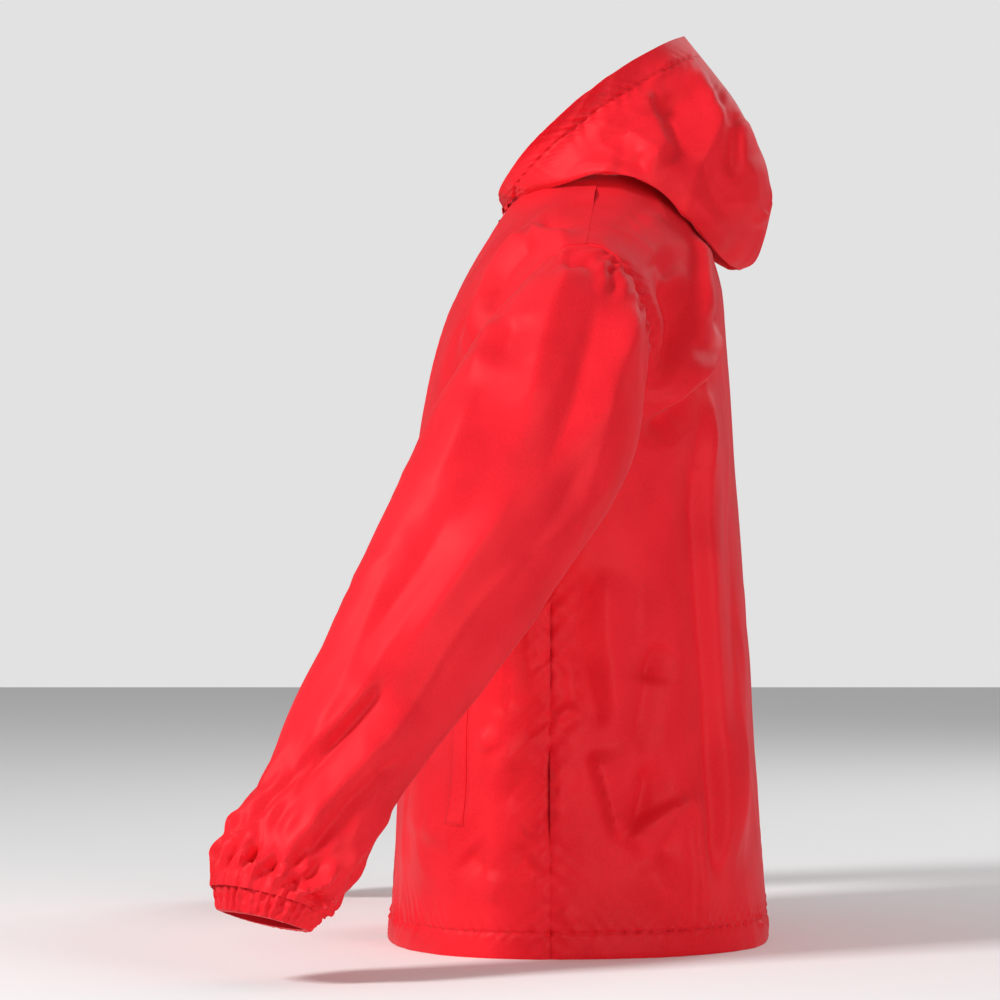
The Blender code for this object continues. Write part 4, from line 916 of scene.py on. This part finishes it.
def enamel(name, colour, roughness, metallic, wear):
    """Hard smooth finish, a little lighter and rougher where it has rubbed."""
    made = bpy.data.materials.new(name)
    made.use_nodes = True
    tree = made.node_tree
    shader = tree.nodes["Principled BSDF"]
    place = node(tree, "ShaderNodeTexCoord")
    scuff = node(tree, "ShaderNodeTexNoise", Scale=900.0, Detail=4.0)
    tree.links.new(place.outputs["Object"], scuff.inputs["Vector"])
    ramp = node(tree, "ShaderNodeValToRGB")
    ramp.color_ramp.elements[0].position = 0.45
    ramp.color_ramp.elements[0].color = colour
    ramp.color_ramp.elements[1].position = 0.80
    ramp.color_ramp.elements[1].color = wear
    tree.links.new(scuff.outputs["Fac"], ramp.inputs["Fac"])
    tree.links.new(ramp.outputs["Color"], shader.inputs["Base Color"])
    rough = node(tree, "ShaderNodeMapRange")
    rough.inputs["To Min"].default_value = roughness * 0.8
    rough.inputs["To Max"].default_value = roughness * 1.3
    tree.links.new(scuff.outputs["Fac"], rough.inputs["Value"])
    tree.links.new(rough.outputs["Result"], shader.inputs["Roughness"])
    shader.inputs["Metallic"].default_value = metallic
    return made


ZIP_TAPE = woven_tape("zip_tape", (0.020, 0.020, 0.023, 1.0), (0.008, 0.008, 0.010, 1.0), 450.0)
ZIP_TEETH = enamel("moulded_teeth", (0.012, 0.012, 0.014, 1.0), 0.32, 0.0, (0.03, 0.03, 0.033, 1.0))
SLIDER = enamel("black_enamel", (0.012, 0.012, 0.015, 1.0), 0.28, 0.5, (0.05, 0.05, 0.055, 1.0))
NICKEL = enamel("polished_nickel", (0.80, 0.80, 0.81, 1.0), 0.20, 1.0, (0.90, 0.90, 0.90, 1.0))


def repeat_along(name, shape):
    """Node tree that sets one small solid after another along an edge path, then joins them."""
    tree = bpy.data.node_groups.new(name, "GeometryNodeTree")
    sockets = {}
    for label, kind in (("Path", "Geometry"), ("Spacing", "Float"),
                        ("Size", "Vector"), ("Finish", "Material")):
        sockets[label] = tree.interface.new_socket(label, in_out="INPUT", socket_type="NodeSocket" + kind)
    tree.interface.new_socket("Pieces", in_out="OUTPUT", socket_type="NodeSocketGeometry")
    start, end = tree.nodes.new("NodeGroupInput"), tree.nodes.new("NodeGroupOutput")
    curve = tree.nodes.new("GeometryNodeMeshToCurve")
    even = node(tree, "GeometryNodeResampleCurve", mode="LENGTH")
    tangent = tree.nodes.new("GeometryNodeInputTangent")
    pivot = "X" if shape == "tooth" else "AUTO"
    turned = node(tree, "FunctionNodeAlignRotationToVector", axis="Z", pivot_axis=pivot)
    placed = tree.nodes.new("GeometryNodeInstanceOnPoints")
    real = tree.nodes.new("GeometryNodeRealizeInstances")
    coat = tree.nodes.new("GeometryNodeSetMaterial")
    link = tree.links.new
    if shape == "tooth":
        solid = node(tree, "GeometryNodeMeshCube", Size=(1.0, 1.0, 1.0))
    else:
        solid = node(tree, "GeometryNodeMeshIcoSphere", Radius=0.5, Subdivisions=1)
    link(start.outputs["Path"], curve.inputs["Mesh"])
    link(curve.outputs["Curve"], even.inputs["Curve"])
    link(start.outputs["Spacing"], even.inputs["Length"])
    link(tangent.outputs["Tangent"], turned.inputs["Vector"])
    link(even.outputs["Curve"], placed.inputs["Points"])
    link(solid.outputs["Mesh"], placed.inputs["Instance"])
    link(turned.outputs["Rotation"], placed.inputs["Rotation"])
    link(start.outputs["Size"], placed.inputs["Scale"])
    link(placed.outputs["Instances"], real.inputs["Geometry"])
    link(real.outputs["Geometry"], coat.inputs["Geometry"])
    link(start.outputs["Finish"], coat.inputs["Material"])
    link(coat.outputs["Geometry"], end.inputs["Pieces"])
    return tree, {label: socket.identifier for label, socket in sockets.items()}


def run_along(name, paths, group, spacing, size, finish):
    """Repeated small solids along one or more open paths, as one plain mesh."""
    tree, ids = group
    vertices, edges = [], []
    for path in paths:
        first = len(vertices)
        vertices.extend(tuple(p) for p in path)
        edges.extend((first + i, first + i + 1) for i in range(len(path) - 1))
    guide = bpy.data.meshes.new(name + "_path")
    guide.from_pydata(vertices, edges, [])
    carrier = bpy.data.objects.new(name + "_path", guide)
    bpy.context.scene.collection.objects.link(carrier)
    change = carrier.modifiers.new("along", "NODES")
    change.node_group = tree
    change[ids["Spacing"]] = spacing
    change[ids["Size"]] = size
    change[ids["Finish"]] = finish
    depsgraph = bpy.context.evaluated_depsgraph_get()
    mesh = bpy.data.meshes.new_from_object(carrier.evaluated_get(depsgraph))
    bpy.data.objects.remove(carrier, do_unlink=True)
    made = bpy.data.objects.new(name, mesh)
    bpy.context.scene.collection.objects.link(made)
    return made


TOOTH_ROW = repeat_along("tooth_row", "tooth")
for word, side in (("left", LEFT), ("right", RIGHT)):
    s = np.linspace(0.0036 + (0.0011 if side > 0 else 0.0), 0.6775, 320)
    centre, out = front_frame(s)
    inner_row = centre - 0.0020 * out + np.array((side * 0.00125, 0.0, 0.0))
    outer_row = centre - 0.0020 * out + np.array((side * 0.0024, 0.0, 0.0))
    row = run_along(word + "_teeth", [inner_row], TOOTH_ROW, 0.0022, (0.0013, 0.0016, 0.0010), ZIP_TEETH)
    root = run_along(word + "_tooth_roots", [outer_row], TOOTH_ROW, 0.0022,
                     (0.0013, 0.0020, 0.0014), ZIP_TEETH)
    for made in (row, root):
        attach(made, "torso")
    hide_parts("zip_teeth_" + word)
    finish_node("zip_tape_" + word, ZIP_TAPE)
    finish_node("zip_top_stop_" + word, ZIP_TEETH)
finish_node("zip_insertion_pin", ZIP_TEETH)
finish_node("zip_retainer_box", ZIP_TEETH)
finish_node("zip_slider", SLIDER)
finish_node("zip_puller", NICKEL)

# ------------------------------------------------------------------ stitching
# Red polyester thread, about 3 mm to the stitch: round the hem, the hood's casing, the pocket
# welts and beside the zip.
THREAD = woven_tape("red_thread", (0.78, 0.030, 0.050, 1.0), (0.55, 0.012, 0.026, 1.0), 1500.0)
STITCH_ROW = repeat_along("stitch_row", "stitch")


def line_on(cloth, u_range, v_range, count, lift):
    """Straight line of sewing on a finished piece, from one column and row to another."""
    u, v = np.linspace(*u_range, count), np.linspace(*v_range, count)
    return lie_on(cloth, u, v, np.full(count, -lift))[0]


def stitch(name, paths, body, spacing=0.0032):
    made = run_along(name, paths, STITCH_ROW, spacing, (0.00045, 0.00045, 0.0024), THREAD)
    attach(made, body)


sewing = []
for word in ("left", "right"):
    front = cloths["front_" + word]
    sewing.append(line_on(front, (0.03, 0.995), (HEM_TOP, HEM_TOP), 240, 0.0001))
    sewing.append(line_on(front, (0.028, 0.028), (0.004, 0.994), 320, 0.0001))
sewing.append(line_on(cloths["back_panel"], (-0.995, 0.995), (HEM_TOP, HEM_TOP), 480, 0.0001))
stitch("hem_and_zip_stitching", sewing, "torso")
low, high = 0.122 / 0.69, 0.300 / 0.69
sewing = []
for word in ("left", "right"):
    front = cloths["front_" + word]
    for u in (0.592, 0.674):
        sewing.append(line_on(front, (u, u), (low + 0.002, high - 0.002), 90, 0.0018 if u < 0.6 else 0.0001))
    for v in (low + 0.003, high - 0.003):
        sewing.append(line_on(front, (0.588, 0.662), (v, v), 16, 0.0018))
stitch("pocket_stitching", sewing, "torso", 0.0026)
sewing = []
for word in ("left", "right"):
    sewing.append(line_on(cloths["hood_" + word], (0.088, 0.088), (0.20, 0.993), 200, 0.0001))
stitch("hood_stitching", sewing, "torso")

# ------------------------------------------------------------------ floor and light
# Plain pale floor and three soft lamps: a large one above the front, one beside the camera
# and one behind.
floor_mesh = bpy.data.meshes.new("floor")
floor_mesh.from_pydata([(-6, -6, 0), (6, -6, 0), (6, 6, 0), (-6, 6, 0)], [], [(0, 1, 2, 3)])
floor = bpy.data.objects.new("floor", floor_mesh)
bpy.context.scene.collection.objects.link(floor)
paint = bpy.data.materials.new("pale_floor")
paint.use_nodes = True
paint.node_tree.nodes["Principled BSDF"].inputs["Base Color"].default_value = (0.93, 0.93, 0.93, 1.0)
paint.node_tree.nodes["Principled BSDF"].inputs["Roughness"].default_value = 1.0
paint.node_tree.nodes["Principled BSDF"].inputs["Specular IOR Level"].default_value = 0.0
floor_mesh.materials.append(paint)

world = bpy.data.worlds.new("studio")
world.use_nodes = True
sky = world.node_tree.nodes["Background"]
way_up = node(world.node_tree, "ShaderNodeTexCoord")
height_in_sky = node(world.node_tree, "ShaderNodeSeparateXYZ")
overhead = node(world.node_tree, "ShaderNodeMapRange", interpolation_type="SMOOTHSTEP")
overhead.inputs["From Min"].default_value = -0.1
overhead.inputs["From Max"].default_value = 0.9
overhead.inputs["To Min"].default_value = 0.14
overhead.inputs["To Max"].default_value = 0.40
sky.inputs["Color"].default_value = (1.0, 1.0, 1.0, 1.0)
world.node_tree.links.new(way_up.outputs["Generated"], height_in_sky.inputs["Vector"])
world.node_tree.links.new(height_in_sky.outputs["Z"], overhead.inputs["Value"])
world.node_tree.links.new(overhead.outputs["Result"], sky.inputs["Strength"])
wall = node(world.node_tree, "ShaderNodeBackground", Color=(1.0, 1.0, 1.0, 1.0), Strength=0.76)
seen = node(world.node_tree, "ShaderNodeLightPath")
either = node(world.node_tree, "ShaderNodeMixShader")
world.node_tree.links.new(seen.outputs["Is Camera Ray"], either.inputs["Fac"])
world.node_tree.links.new(sky.outputs["Background"], either.inputs[1])
world.node_tree.links.new(wall.outputs["Background"], either.inputs[2])
world.node_tree.links.new(either.outputs["Shader"], world.node_tree.nodes["World Output"].inputs["Surface"])
bpy.context.scene.world = world
bpy.context.scene.view_settings.view_transform = "Standard"


def softbox(name, place, target, size, power):
    lamp = bpy.data.lights.new(name, "AREA")
    lamp.shape = "SQUARE"
    lamp.size = size
    lamp.energy = power
    made = bpy.data.objects.new(name, lamp)
    made.location = place
    way = np.asarray(target, float) - np.asarray(place, float)
    made.rotation_euler = (math.atan2(math.hypot(way[0], way[1]), -way[2]), 0.0,
                           math.atan2(way[1], way[0]) - math.pi / 2)
    bpy.context.scene.collection.objects.link(made)


softbox("key", (2.2, -2.8, 2.6), (0, 0, 0.45), 0.8, 132.0)
softbox("fill", (3.4, 1.9, 0.8), (0, 0, 0.35), 1.2, 42.0)
softbox("back", (-2.2, 1.8, 2.2), (0, 0, 0.5), 1.6, 25.0)
